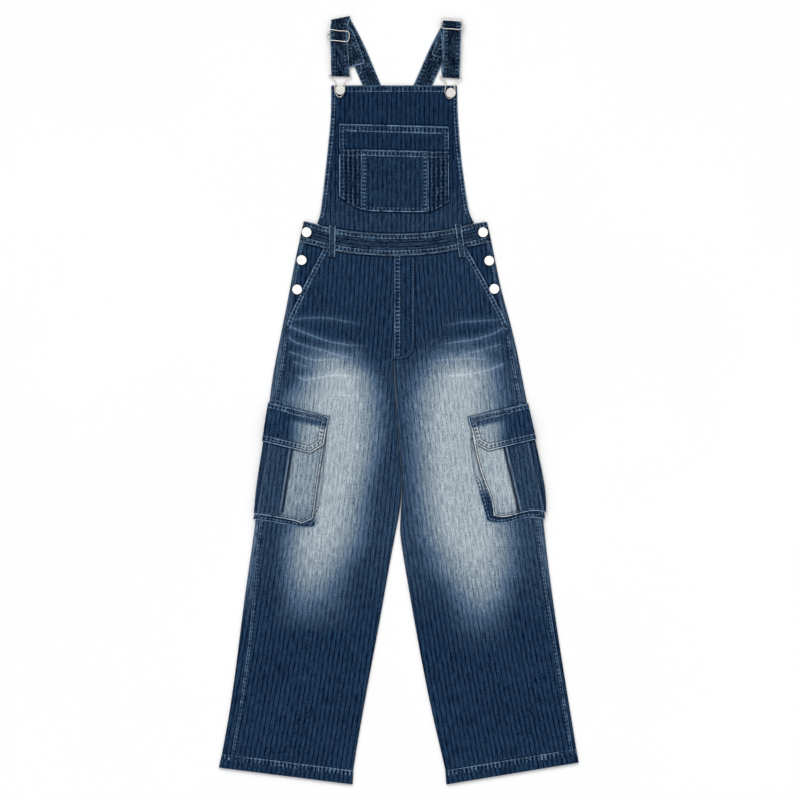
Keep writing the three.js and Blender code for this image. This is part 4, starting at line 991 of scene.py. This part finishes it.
def subdivided_copy(source: bpy.types.Object, name: str, levels: int, sharp: float) -> bpy.types.Object:
    """Makes a smooth copy of a solid, which keeps its sharp edges.

    Args:
        source: The CAD node's object, which is left alone.
        name: Name of the copy.
        levels: Subdivision levels.
        sharp: Angle in degrees past which an edge stays sharp.

    Returns:
        The copy.
    """
    obj = bpy.data.objects.new(name, source.data.copy())
    bpy.context.scene.collection.objects.link(obj)
    only(obj)
    bpy.ops.object.mode_set(mode="EDIT")
    bpy.ops.mesh.select_all(action="SELECT")
    bpy.ops.mesh.remove_doubles(threshold=0.00002)
    bpy.ops.mesh.tris_convert_to_quads(face_threshold=math.radians(38), shape_threshold=math.pi)
    bpy.ops.object.mode_set(mode="OBJECT")
    mesh = bmesh.new()
    mesh.from_mesh(obj.data)
    crease = mesh.edges.layers.float.get("crease_edge") or mesh.edges.layers.float.new("crease_edge")
    for edge in mesh.edges:
        edge[crease] = 1.0 if edge.calc_face_angle(0.0) > math.radians(sharp) else 0.0
    mesh.to_mesh(obj.data)
    mesh.free()
    modifier = obj.modifiers.new("smooth form", "SUBSURF")
    modifier.levels = modifier.render_levels = levels
    bpy.ops.object.modifier_apply(modifier=modifier.name)
    bpy.ops.object.shade_smooth_by_angle(angle=math.radians(sharp))
    return obj


@dataclass
class Stitching:
    """Stitches of one piece: one bowed thread is modelled, and its copies are joined in one mesh.

    Attributes:
        cloth: The piece that is sewn.
        places: Where each stitch goes.
    """

    cloth: Cloth
    places: list[Matrix] = field(default_factory=list, init=False)

    def build(self, material: bpy.types.Material, template: bpy.types.Mesh) -> bpy.types.Object | None:
        """Sews all rows of the piece.

        Args:
            material: The thread's finish.
            template: One stitch, of length 1 and radius 1.

        Returns:
            The joined stitches, or nothing if the piece has none.
        """
        surface = BVHTree.FromObject(self.cloth.obj, bpy.context.evaluated_depsgraph_get())
        for line in self._edge_rows():
            self._sew(surface, line)
        for row in self.cloth.rows:
            self._sew(surface, [Vector((x * MM, y * MM, 0)) for x, y in row])
        if not self.places:
            return None
        mesh = bpy.data.meshes.new(self.cloth.node + "_stitches")
        shape = [v.co.copy() for v in template.vertices]
        verts = [place @ co for place in self.places for co in shape]
        faces = [tuple(k * len(shape) + corner for corner in face.vertices)
                 for k in range(len(self.places)) for face in template.polygons]
        mesh.from_pydata(verts, [], faces)
        mesh.materials.append(material)
        spots = np.array([v[:] for v in verts]) / MM
        fade = self.cloth.fading(spots[:, 0], spots[:, 1]) if self.cloth.fading else np.zeros(len(spots))
        mesh.attributes.new("fade", "FLOAT", "POINT").data.foreach_set("value", fade.astype(np.float32))
        obj = bpy.data.objects.new(mesh.name, mesh)
        bpy.context.scene.collection.objects.link(obj)
        only(obj)
        bpy.ops.object.shade_smooth()
        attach(obj, "root")
        LOG.info("%s: %d stitches", obj.name, len(self.places))
        return obj

    def _edge_rows(self) -> list[list[Vector]]:
        """Lines beside the outline, one for each inset of each stretch."""
        lines = []
        for hem in self.cloth.hems:
            for chain in self.cloth.hem_chains(hem):
                for inset in hem.insets:
                    lines.append([spot + inward * inset * MM for spot, inward in chain])
        return lines

    def _sew(self, surface: BVHTree, line: list[Vector]) -> None:
        """Lays stitches along a line, seen from above, on the cloth's upper surface."""
        spots = evenly(line, self.cloth.pitch / 5 * MM)
        hits = [dropped(surface, spot) for spot in spots]
        for k in range(0, len(spots) - 3, 5):
            first, last = hits[k], hits[k + 3]
            if first[0] is None or last[0] is None or abs(first[0].z - last[0].z) > 1.5 * MM:
                continue
            if spots[k].z and abs(first[0].z - spots[k].z) > 2.0 * MM:
                continue
            self._stitch(first[0], last[0], (first[1] + last[1]).normalized())

    def _stitch(self, start: Vector, end: Vector, normal: Vector) -> None:
        """Places one stitch between two points of the cloth."""
        way = end - start
        beside = normal.cross(way).normalized()
        up = way.cross(beside).normalized()
        thick = self.cloth.thread * MM
        turn = Matrix((way, beside * thick, up * thick)).transposed().to_4x4()
        self.places.append(Matrix.Translation((start + end) / 2 + up * thick * 0.35) @ turn)


def model_stitch() -> bpy.types.Mesh:
    """Models one bowed stitch along X, of length 1 and radius 1, with sunk ends.

    Returns:
        Its mesh.
    """
    bpy.ops.object.select_all(action="DESELECT")
    bpy.ops.mesh.primitive_cylinder_add(vertices=4, radius=1.0, depth=1.0, rotation=(0, math.pi / 2, 0))
    obj = bpy.context.active_object
    bpy.ops.object.transform_apply(location=True, rotation=True, scale=True)
    bpy.ops.object.mode_set(mode="EDIT")
    mesh = all_deselected(obj)
    for edge in mesh.edges:
        edge.select = abs(edge.verts[0].co.x - edge.verts[1].co.x) > 0.5
    bmesh.update_edit_mesh(obj.data)
    bpy.ops.mesh.subdivide(number_cuts=2)
    mesh = all_deselected(obj)
    for vert in mesh.verts:
        vert.select = abs(vert.co.x) > 0.45
    mesh.select_flush_mode()
    bmesh.update_edit_mesh(obj.data)
    bpy.ops.transform.resize(value=(1.0, 0.55, 0.55))
    bpy.ops.transform.translate(value=(0, 0, -0.8))
    bpy.ops.object.mode_set(mode="OBJECT")
    mesh = obj.data
    bpy.data.objects.remove(obj)
    return mesh


def chained(edges: list[RimEdge]) -> list[list[tuple[Vector, Vector]]]:
    """Joins short edges end to end.

    Args:
        edges: Edges of an outline in any order.

    Returns:
        Chains of points, each with its inward direction.
    """
    def key(point: Vector) -> tuple[int, int, int]:
        """A point as whole hundredths of a millimetre."""
        return tuple(round(value / (0.01 * MM)) for value in point)

    ends: dict[tuple, list[tuple[Vector, Vector, int]]] = {}
    for k, edge in enumerate(edges):
        ends.setdefault(key(edge.start), []).append((edge.start, edge.end, k))
        ends.setdefault(key(edge.end), []).append((edge.end, edge.start, k))
    used: set[int] = set()
    chains = []
    starts = sorted(ends, key=lambda spot: len(ends[spot]) != 1)
    for spot in starts:
        chain: list[tuple[Vector, Vector]] = []
        here = spot
        while True:
            step = next(((a, b, k) for a, b, k in ends[here] if k not in used), None)
            if step is None:
                break
            used.add(step[2])
            inward = edges[step[2]].inward
            if not chain:
                chain.append((step[0], inward))
            chain.append((step[1], inward))
            here = key(step[1])
        if len(chain) > 2:
            chains.append(softened(chain))
    return chains


def softened(chain: list[tuple[Vector, Vector]]) -> list[tuple[Vector, Vector]]:
    """Averages the inward directions along a chain, so that a row beside it runs smoothly."""
    result = []
    for k, (spot, _) in enumerate(chain):
        near = chain[max(0, k - 2): k + 3]
        mean = sum((inward for _, inward in near), Vector())
        mean.z = 0
        result.append((spot, mean.normalized() if mean.length else mean))
    return result


def evenly(line: list[Vector], step: float) -> list[Vector]:
    """Points along a line at even steps."""
    lengths = [0.0]
    for a, b in zip(line, line[1:]):
        lengths.append(lengths[-1] + (b.xy - a.xy).length)
    count = int(lengths[-1] / step)
    if count < 3:
        return []
    wanted = np.linspace(0, lengths[-1], count + 1)
    columns = [np.interp(wanted, lengths, [p[k] for p in line]) for k in range(3)]
    return [Vector(p) for p in zip(*columns)]


@dataclass
class Hardware:
    """A bent-wire buckle or slider: its solid's form, rounded.

    Attributes:
        node: The solid that it stands for.
        levels: How often the form is subdivided.
        sharp: Angle in degrees past which an edge stays sharp.
    """

    node: str
    levels: int = 1
    sharp: float = 100.0

    def build(self, frame: dict, material: bpy.types.Material) -> bpy.types.Object:
        """Makes the piece.

        Args:
            material: Its metal.

        Returns:
            The finished object.
        """
        obj = subdivided_copy(frame["nodes"][self.node], self.node + "_wire", self.levels, self.sharp)
        dress_metal(obj, self.node, material)
        return obj


@dataclass
class Button:
    """A jeans button: a dished cap with a raised rim and a domed middle, on a shank. Sizes are in mm.

    Attributes:
        node: The solid that it stands for.
        cap: Thickness of the cap below its rim.
        rim_step: Width of the slope up to the rim.
        rim_wide: Width of the rim.
        rim_high: Height of the rim.
        dish_step: Width of the slope down from the rim.
        dome: Height of the middle.
        lip: Distance from the cap's edge to the shank.
        corner: Width of the worn corners.
    """

    node: str
    cap: float = 2.6
    rim_step: float = 0.3
    rim_wide: float = 1.1
    rim_high: float = 0.28
    dish_step: float = 0.7
    dome: float = 0.16
    lip: float = 5.4
    corner: float = 0.35

    def build(self, frame: dict, material: bpy.types.Material) -> bpy.types.Object:
        """Makes the button in the place of its solid.

        Args:
            material: Its metal.

        Returns:
            The finished object.
        """
        low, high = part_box(self.node)
        radius = (high.y - low.y) / 2
        cap = self.cap * MM
        bpy.ops.object.select_all(action="DESELECT")
        middle = ((low.x + high.x) / 2, (low.y + high.y) / 2, high.z - cap / 2 - self.rim_high * MM)
        bpy.ops.mesh.primitive_cylinder_add(vertices=40, radius=radius, depth=cap, location=middle)
        obj = bpy.context.active_object
        obj.name = self.node + "_cap"
        bpy.ops.object.transform_apply(location=True, rotation=True, scale=True)
        self._shape_top(obj, radius)
        self._add_shank(obj, low.z)
        bevel = obj.modifiers.new("worn corners", "BEVEL")
        bevel.width = self.corner * MM
        bevel.segments = 2
        bevel.limit_method = "ANGLE"
        bpy.ops.object.modifier_apply(modifier=bevel.name)
        bpy.ops.object.shade_smooth_by_angle(angle=math.radians(14))
        dress_metal(obj, self.node, material)
        return obj

    def _shape_top(self, obj: bpy.types.Object, radius: float) -> None:
        """Raises the rim and domes the middle of the cap's top."""
        bpy.ops.object.mode_set(mode="EDIT")
        select_faces(obj, lambda face: face.normal.z > 0.9)
        bpy.ops.mesh.inset(thickness=self.rim_step * MM, depth=self.rim_high * MM)
        bpy.ops.mesh.inset(thickness=self.rim_wide * MM, depth=0.0)
        bpy.ops.mesh.inset(thickness=self.dish_step * MM, depth=-self.rim_high * MM)
        bpy.ops.mesh.inset(thickness=0.22 * radius, depth=self.dome * 0.6 * MM)
        bpy.ops.mesh.inset(thickness=0.24 * radius, depth=self.dome * 0.4 * MM)
        bpy.ops.object.mode_set(mode="OBJECT")

    def _add_shank(self, obj: bpy.types.Object, foot: float) -> None:
        """Draws the shank down from the cap's underside to its foot."""
        bpy.ops.object.mode_set(mode="EDIT")
        select_faces(obj, lambda face: face.normal.z < -0.9)
        under = min(v.co.z for v in obj.data.vertices)
        bpy.ops.mesh.inset(thickness=self.lip * MM, depth=0.0)
        bpy.ops.mesh.extrude_region_move(TRANSFORM_OT_translate={"value": (0, 0, foot - under)})
        bpy.ops.object.mode_set(mode="OBJECT")


def dress_metal(obj: bpy.types.Object, node: str, material: bpy.types.Material) -> None:
    """Gives a metal piece its finish and puts it in the place of its solid.

    Args:
        obj: The piece.
        node: The solid that it stands for.
        material: Its metal.
    """
    obj.data.materials.clear()
    obj.data.materials.append(material)
    for layer in list(obj.data.uv_layers):
        obj.data.uv_layers.remove(layer)
    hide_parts(node)
    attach(obj, "root")
    LOG.info("%s: %d faces", obj.name, len(obj.data.polygons))


def all_deselected(obj: bpy.types.Object) -> bmesh.types.BMesh:
    """In edit mode, gives the object's mesh with nothing of it selected."""
    mesh = bmesh.from_edit_mesh(obj.data)
    for item in (*mesh.verts, *mesh.edges, *mesh.faces):
        item.select = False
    return mesh


def select_faces(obj: bpy.types.Object, keep: Callable[[bmesh.types.BMFace], bool]) -> None:
    """In edit mode, selects the faces that keep names and nothing else."""
    mesh = all_deselected(obj)
    for face in mesh.faces:
        face.select = keep(face)
    mesh.select_flush_mode()
    bmesh.update_edit_mesh(obj.data)


def pleat_line(side: Side, y: Points) -> Points:
    """Distance from the garment's middle of the pocket pleat's inner edge at a height, in mm."""
    return 201 + 0.159 * (-90 - y) if side is Side.LEFT else 198 + 0.231 * (-83 - y)


def pocket_fade(side: Side) -> Callable[[Points, Points], Points]:
    """Fade of a cargo pocket: its inner part is nearly as pale as the thigh, and its pleat stays dark.

    Args:
        side: The pocket's side.

    Returns:
        The function that gives the fade at points.
    """
    strength = 0.62 if side is Side.LEFT else 0.95

    def at(x: Points, y: Points) -> Points:
        """Fade at points, in mm."""
        out = x * side.sign - pleat_line(side, y)
        inner = 1 - smooth(-2.4, -0.6, out)
        dim = 0.55 + 0.45 * smooth(0, -14, out)
        return 0.055 + inner * strength * dim * (1 - 0.35 * smooth(-170, -225, y))

    return at


def pleat_wear_and_shadow(side: Side) -> tuple[WearLine, ...]:
    """Pale worn lines along the two edges of a pocket's pleat, each with a band of painted shadow on its far
    side.
    """
    heights = (-60, -110, -160, -212)
    width = 40 if side is Side.LEFT else 41.5
    inner = tuple((side.sign * pleat_line(side, y), y) for y in heights)
    outer = tuple((side.sign * (pleat_line(side, y) + width), y) for y in heights)
    settings = {"wide": 2.0, "high": 0.0, "fades_from": 0.95, "upright": True}
    return (WearLine(inner, 0.5, dark=0.95, **settings), WearLine(outer, 0.22, dark=0.4, **settings))


def gusset_fade(side: Side) -> Callable[[Points, Points], Points]:
    """Fade of a pocket's gusset: a little beside the pale part of the pocket, next to none below it.

    Args:
        side: The pocket's side.

    Returns:
        The function that gives the fade at points.
    """
    def at(x: Points, y: Points) -> Points:
        """Fade at points, in mm."""
        pale = smooth(-182, -146, y) if side is Side.RIGHT else smooth(-226, -206, y)
        return 0.02 + 0.8 * (1 - smooth(164, 182, x * side.sign)) * pale

    return at


def flap_fade(side: Side) -> Callable[[Points, Points], Points]:
    """Fade of a pocket flap: pale on its inner half, below the topstitching."""
    def at(x: Points, y: Points) -> Points:
        """Fade at points, in mm."""
        out = x * side.sign
        top = -14 - 0.24 * (out - 240) * -1
        return 0.01 + 0.78 * (1 - smooth(164, 206, out)) * (0.12 + 0.88 * smooth(8, 18, top - y))

    return at


def side_strip_fade(side: Side) -> Callable[[Points, Points], Points]:
    """Fade of a back panel, of which only the strip at the side shows: nearly none."""
    strength = 0.17 if side is Side.LEFT else 0.12

    def at(x: Points, y: Points) -> Points:
        """Fade at points, in mm."""
        return strength * smooth(-440, -240, y) + 0.1 * smooth(-420, -280, y) * (1 - smooth(-240, -200, y))

    return at


def leg_pieces(side: Side) -> list[Cloth]:
    """The cloth pieces of one leg.

    Args:
        side: The leg.

    Returns:
        Its panels, facing and cargo pocket.
    """
    s = side.sign
    name = side.value

    def box(near: float, foot: float, far: float, top: float, way: str = "any") -> Stretch:
        """A stretch between two distances from the centre, on this side."""
        low, high = sorted((near * s, far * s))
        return Stretch(low, foot, high, top, way)

    foot_hem = Hem(box(60, -760, 400, -655, "across"), (25.0,), 25.0, 10.0, 0.6, 1.3, 0.08)
    slant = Hem(box(118, 136, 214, 282, "along"), (2.4, 7.6), 7.6, 4.0, 0.45, 0.5, 0.65)
    inseam = Hem(box(0, -690, 110, -60, "along"), (3.0,), 4.0, 3.0, 0.2, 0.8, 0.2)
    side_seam = Hem(box(180, -650, 330, 120, "along"), (), 4.5, 4.0, 0.3, 0.8, 0.4)
    front_hems = [foot_hem, slant, side_seam] + ([inseam] if side is Side.RIGHT else [])
    covers = [f"cargo_pocket_{name}", f"cargo_flap_{name}", "waistband_front", f"belt_loop_{name}"]
    front = Cloth(
        f"leg_front_{name}", "leg_denim", (0.27, 1.02), 3, side, (f"leg_back_{name}",), tuple(front_hems),
        creases=(
            Crease(s * 120, 150, s * 20, 60, 12, -0.6), Crease(s * 60, 190, 90, 60, 18, 0.5),
            Crease(s * 150, 10, s * 62, 70, 16, -0.8), Crease(s * 30, -120, s * 74, 80, 14, 0.9),
            Crease(s * 60, -190, s * -64, 70, 14, -0.9), Crease(s * 95, -260, s * 80, 90, 20, 0.9),
            Crease(s * 180, -330, s * -70, 90, 18, -1.0), Crease(s * 140, -430, s * 86, 110, 22, 0.9),
            Crease(s * 220, -520, s * -78, 100, 20, -0.9), Crease(s * 130, -580, s * -84, 80, 16, 0.8),
            Crease(s * 250, -600, s * -70, 60, 14, 0.7),
        ),
        fading=FADES[side].at, wear=WHISKERS[side], pitch=7.2, thread=0.75,
        covers=(*covers, "fly") if side is Side.RIGHT else tuple(covers),
    )
    back = Cloth(
        f"leg_back_{name}", "leg_denim", (0.3, 1.02), 2, side, (), (foot_hem,), fading=side_strip_fade(side),
        covers=(f"cargo_pocket_{name}", f"cargo_flap_{name}"),
    )
    facing = Cloth(
        f"hip_facing_{name}", "leg_denim", (0.1, 0.15), 3, side, (f"leg_back_{name}",),
        (Hem(box(150, 150, 215, 290, "along"), (3.0,), 3.0, 2.0, 0.3, 0.3, 0.3),),
        covers=(f"leg_front_{name}", "waistband_front", *(f"side_button_{name}_{k}" for k in (1, 2, 3))),
    )
    pocket = Cloth(
        f"cargo_pocket_{name}", "leg_denim", (0.19, 0.21), 3, side, (f"leg_front_{name}",),
        (Hem(box(120, -245, 280, -190, "across"), (), 4.4, 3.6, 0.2, 0.7, 1.2),
         Hem(box(120, -225, 200, -64, "along"), (), 5.0, 4.4, 0.2, 0.4, 1.0)),
        creases=(
            Crease(s * 165, -150, s * 80, 36, 8, 0.8), Crease(s * 178, -185, s * -66, 26, 7, -0.8),
            Crease(s * 190, -130, s * 84, 30, 6, -0.6), Crease(s * 240, -150, s * 80, 40, 9, 0.7),
            Crease(s * 232, -190, s * 60, 24, 7, -0.8), Crease(s * 170, -205, s * 10, 20, 6, 0.7),
        ),
        fading=pocket_fade(side), covers=(f"cargo_flap_{name}",), wear=pleat_wear_and_shadow(side),
    )
    gusset_top = -150 if side is Side.RIGHT else -206
    gusset = Cloth(
        f"cargo_gusset_{name}", "leg_denim", (0.04, 0.32), 3, side, (f"leg_front_{name}",),
        (Hem(box(120, -245, 290, gusset_top), (), 5.4, 4.8, 0.4, 1.1, 0.7),), fading=gusset_fade(side),
        covers=(f"cargo_pocket_{name}",),
    )
    flap = Cloth(
        f"cargo_flap_{name}", "leg_denim", (0.18, 0.085), 3, side, (f"cargo_pocket_{name}",),
        (Hem(box(120, -30, 270, 20, "across"), (2.8, 8.6), 8.6, 7.4, 0.6, 0.9, 0.8),
         Hem(box(120, -110, 270, -14), (4.8, 10.4), 10.4, 7.6, 0.6, 0.9, 1.1)),
        creases=(Crease(s * 150, -60, s * 60, 16, 6, 0.5), Crease(s * 200, -50, s * 20, 30, 8, -0.5),
                 Crease(s * 228, -44, s * 80, 20, 6, 0.5)),
        fading=flap_fade(side), pitch=4.2, thread=0.62,
    )
    return [back, front, facing, pocket, gusset, flap]


def bib_pieces() -> list[Cloth]:
    """The bib, its pocket, the waistband and the fly."""
    fold_rows = (((-65.9, 448), (-65.9, 358)), ((51.1, 446), (51.1, 355)))
    folds = (((-68.9, 462), (-68.9, 354)), ((54.1, 460), (54.1, 350)))
    return [
        Cloth(
            "bib_back", "bib_denim", (0.23, 0.235), 2, None, (),
            (Hem(Stretch(foot=320), (2.6,), 6.0, 4.0, 0.3, 0.4, 0.3),),
        ),
        Cloth(
            "bib_front", "bib_denim", (0.3, 0.28), 3, None, ("bib_back", "strap_left", "strap_right"),
            (Hem(Stretch(foot=345, top=590, way="along"), (1.8, 6.6), 6.6, 5.4, 0.4, 0.9, 0.4),
             Hem(Stretch(foot=560, way="across"), (2.4, 11.0), 11.0, 8.6, 0.4, 0.75, 0.4)),
            creases=(Crease(-60, 545, 8, 60, 10, 0.5), Crease(70, 535, -12, 50, 10, -0.4),
                     Crease(-110, 440, 84, 60, 8, -0.4), Crease(104, 420, -84, 60, 8, 0.4)),
            covers=("bib_pocket_back", "bib_pocket_front", "waistband_front", "bib_button_left",
                    "bib_button_right"),
            fading=lambda x, y: 0.03 * (1 - smooth(330, 440, y)),
        ),
        Cloth(
            "bib_pocket_back", "bib_denim", (0.205, 0.166), 3, None, ("bib_front",),
            (Hem(Stretch(foot=500, way="across"), (2.4, 12.6), 12.6, 10.6, 0.6, 0.8, 0.75),
             Hem(Stretch(foot=466, way="along"), (7.4,), 7.4, 6.2, 0.25, 0.7, 0.45)),
            covers=("bib_pocket_front",),
        ),
        Cloth(
            "bib_pocket_front", "bib_denim", (0.205, 0.12), 3, None, ("bib_pocket_back",),
            (Hem(Stretch(foot=453, way="across"), (2.4, 10.4), 10.4, 8.4, 0.5, 0.8, 0.65),
             Hem(Stretch(foot=340, top=453), (), 7.4, 6.2, 0.12, 0.9, 0.85)),
            rows=fold_rows, folds=folds,
            creases=(Crease(-68.9, 405, 90, 70, 3, -0.7), Crease(54.1, 404, 90, 70, 3, -0.7),
                     Crease(-8, 400, 80, 60, 22, -0.4)),
            fading=lambda x, y: np.full(len(x), 0.012),
        ),
        Cloth("waistband_back", "trim_denim", (0.37, 0.045), 3, None, (), ribbon=True),
        Cloth(
            "waistband_front", "trim_denim", (0.37, 0.045), 3, None, ("waistband_back",),
            (Hem(Stretch(foot=290, top=334, way="across"), (2.6, 8.4), 8.4, 6.6, 0.5, 0.95, 0.5),
             Hem(Stretch(foot=260, top=300, way="across"), (2.6, 8.4), 8.4, 6.6, 0.5, 0.95, 0.5)),
            creases=(Crease(-60, 288, 4, 60, 5, -0.5), Crease(60, 290, -6, 60, 5, 0.5),
                     Crease(0, 286, 0, 50, 4, -0.4)),
            covers=("belt_loop_left", "belt_loop_right", "side_button_left_1", "side_button_right_1"),
            ribbon=True,
        ),
        Cloth(
            "fly", "leg_denim", (0.04, 0.195), 3, None, ("leg_front_right",),
            (Hem(Stretch(-12, 60, -4, 270, "along"), (1.6, 10.0), 10.0, 8.4, 0.25, 1.0, 0.35),
             Hem(Stretch(-4, 60, 40, 262), (1.8,), 3.0, 2.0, 0.1, 0.4, 0.1)),
            covers=("waistband_front",),
        ),
    ]


def strap_pieces(side: Side) -> list[Cloth]:
    """A strap and a belt loop."""
    return [
        Cloth(
            f"strap_{side.value}", "trim_denim", (0.036, 0.62), 3, None, ("bib_back",),
            (Hem(Stretch(foot=520), (3.0,), 8.0, 6.6, 0.1, 0.8, 0.6),),
            covers=(f"slider_{side.value}",), ribbon=True,
            fading=lambda x, y: np.full(len(x), -0.2 if side is Side.LEFT else -0.3),
        ),
        Cloth(
            f"belt_loop_{side.value}", "trim_denim", (0.013, 0.064), 3, None, ("waistband_front",),
            (Hem(Stretch(foot=255, top=340, way="along"), (), 3.2, 2.0, 0.2, 0.4, 0.75),), ribbon=True,
            fading=lambda x, y: np.full(len(x), 0.04),
        ),
    ]


@dataclass
class Studio:
    """Floor, camera and soft light.

    Attributes:
        floor_size: Side of the floor in metres.
        floor_drop: How far the floor lies below the cloth, in metres.
        key_strength: Strength of the light from beyond the straps.
        key_softness: How wide it is, in degrees.
        key_way: The direction it shines in.
        horizon: Height of the sky, as a share, below which it is darkest.
        low_sky: Strength of the sky at the horizon.
        high_sky: Strength of the sky overhead.
    """

    floor_size: float = 40.0
    floor_drop: float = 0.0004
    key_strength: float = 1.25
    key_softness: float = 36.0
    key_way: tuple[float, float, float] = (0.22, -0.7, -1.0)
    horizon: float = 0.3
    low_sky: float = 0.05
    high_sky: float = 1.68

    def build(self) -> None:
        """Makes the floor, the camera at the photograph's frame, and the lights."""
        bpy.ops.object.select_all(action="DESELECT")
        bpy.ops.mesh.primitive_plane_add(size=self.floor_size, location=(0, 0, -self.floor_drop))
        floor = bpy.context.active_object
        floor.name = "floor"
        floor.data.materials.append(Paper().material())
        self._camera()
        self._key_light()
        self._world()
        view = bpy.context.scene.view_settings
        view.view_transform = "Standard"
        view.look = "None"

    def _camera(self) -> None:
        """Camera straight above the place that the photograph's middle shows."""
        data = bpy.data.cameras.new("camera")
        data.sensor_width = SENSOR
        data.lens = SENSOR * CAMERA_HEIGHT / (IMAGE_PX * PIXEL)
        camera = bpy.data.objects.new("camera", data)
        middle = IMAGE_PX / 2
        camera.location = ((middle - ORIGIN_PX[0]) * PIXEL, (ORIGIN_PX[1] - middle) * PIXEL, CAMERA_HEIGHT)
        bpy.context.scene.collection.objects.link(camera)
        bpy.context.scene.camera = camera

    def _key_light(self) -> None:
        """A soft light from beyond the straps, low enough to show the folds."""
        data = bpy.data.lights.new("key", "SUN")
        data.energy = self.key_strength
        data.angle = math.radians(self.key_softness)
        lamp = bpy.data.objects.new("key", data)
        lamp.rotation_euler = Vector(self.key_way).to_track_quat("-Z", "Y").to_euler()
        bpy.context.scene.collection.objects.link(lamp)

    def _world(self) -> None:
        """Even light from above that darkens towards the horizon, so that metal has dark edges."""
        world = bpy.data.worlds.new("studio")
        world.use_nodes = True
        bpy.context.scene.world = world
        tree = world.node_tree
        tree.nodes.clear()
        coordinates = tree.nodes.new("ShaderNodeTexCoord")
        split = tree.nodes.new("ShaderNodeSeparateXYZ")
        ramp = tree.nodes.new("ShaderNodeMapRange")
        ramp.inputs["From Min"].default_value = self.horizon
        ramp.inputs["From Max"].default_value = 1.0
        ramp.inputs["To Min"].default_value = self.low_sky
        ramp.inputs["To Max"].default_value = self.high_sky
        background = tree.nodes.new("ShaderNodeBackground")
        output = tree.nodes.new("ShaderNodeOutputWorld")
        tree.links.new(coordinates.outputs["Generated"], split.inputs[0])
        tree.links.new(split.outputs[2], ramp.inputs["Value"])
        tree.links.new(ramp.outputs[0], background.inputs["Strength"])
        tree.links.new(background.outputs[0], output.inputs["Surface"])


@dataclass
class Dungarees:
    """The whole garment."""

    leg_denim: Denim = Denim("leg_denim")
    bib_denim: Denim = Denim("bib_denim", pale=srgb(35, 60, 88))
    trim_denim: Denim = Denim("trim_denim", deep=srgb(0, 8, 25), pale=srgb(49, 71, 97), stripe=0.8,
                              contrast=2.2)
    nickel: Nickel = Nickel("nickel")
    pale_nickel: Nickel = Nickel("pale_nickel", (0.78, 0.775, 0.765), 0.35)
    dull_nickel: Nickel = Nickel("dull_nickel", (0.54, 0.53, 0.5), 0.35)
    thread: Thread = Thread("thread")

    def build(self, frame: dict) -> None:
        """Builds every piece.
        """
        slots = {"leg_denim": self.leg_denim, "bib_denim": self.bib_denim, "trim_denim": self.trim_denim}
        denims = {slot: finish.material() for slot, finish in slots.items()}
        thread = self.thread.material()
        stitch = model_stitch()
        pieces = [*leg_pieces(Side.LEFT), *leg_pieces(Side.RIGHT), *bib_pieces(),
                  *strap_pieces(Side.LEFT), *strap_pieces(Side.RIGHT)]
        for piece in pieces:
            piece.build(frame, denims[piece.slot])
            Stitching(piece).build(thread, stitch)
        self._build_metal(frame)

    def _build_metal(self, frame: dict) -> None:
        """Builds buckles, sliders and buttons."""
        wire, pale, dull = (finish.material() for finish in (self.nickel, self.pale_nickel, self.dull_nickel))
        for side in Side:
            Hardware(f"buckle_{side.value}", 2).build(frame, wire)
            Hardware(f"slider_{side.value}", 1).build(frame, wire)
            Button(f"bib_button_{side.value}").build(frame, dull)
            for place in (1, 2, 3):
                Button(f"side_button_{side.value}_{place}").build(frame, pale)


def main() -> None:
    """Loads the frame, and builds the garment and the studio."""
    logging.basicConfig(level=logging.INFO, format="%(name)s: %(message)s")
    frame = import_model()
    Studio().build()
    Dungarees().build(frame)


if __name__ == "__main__":
    main()
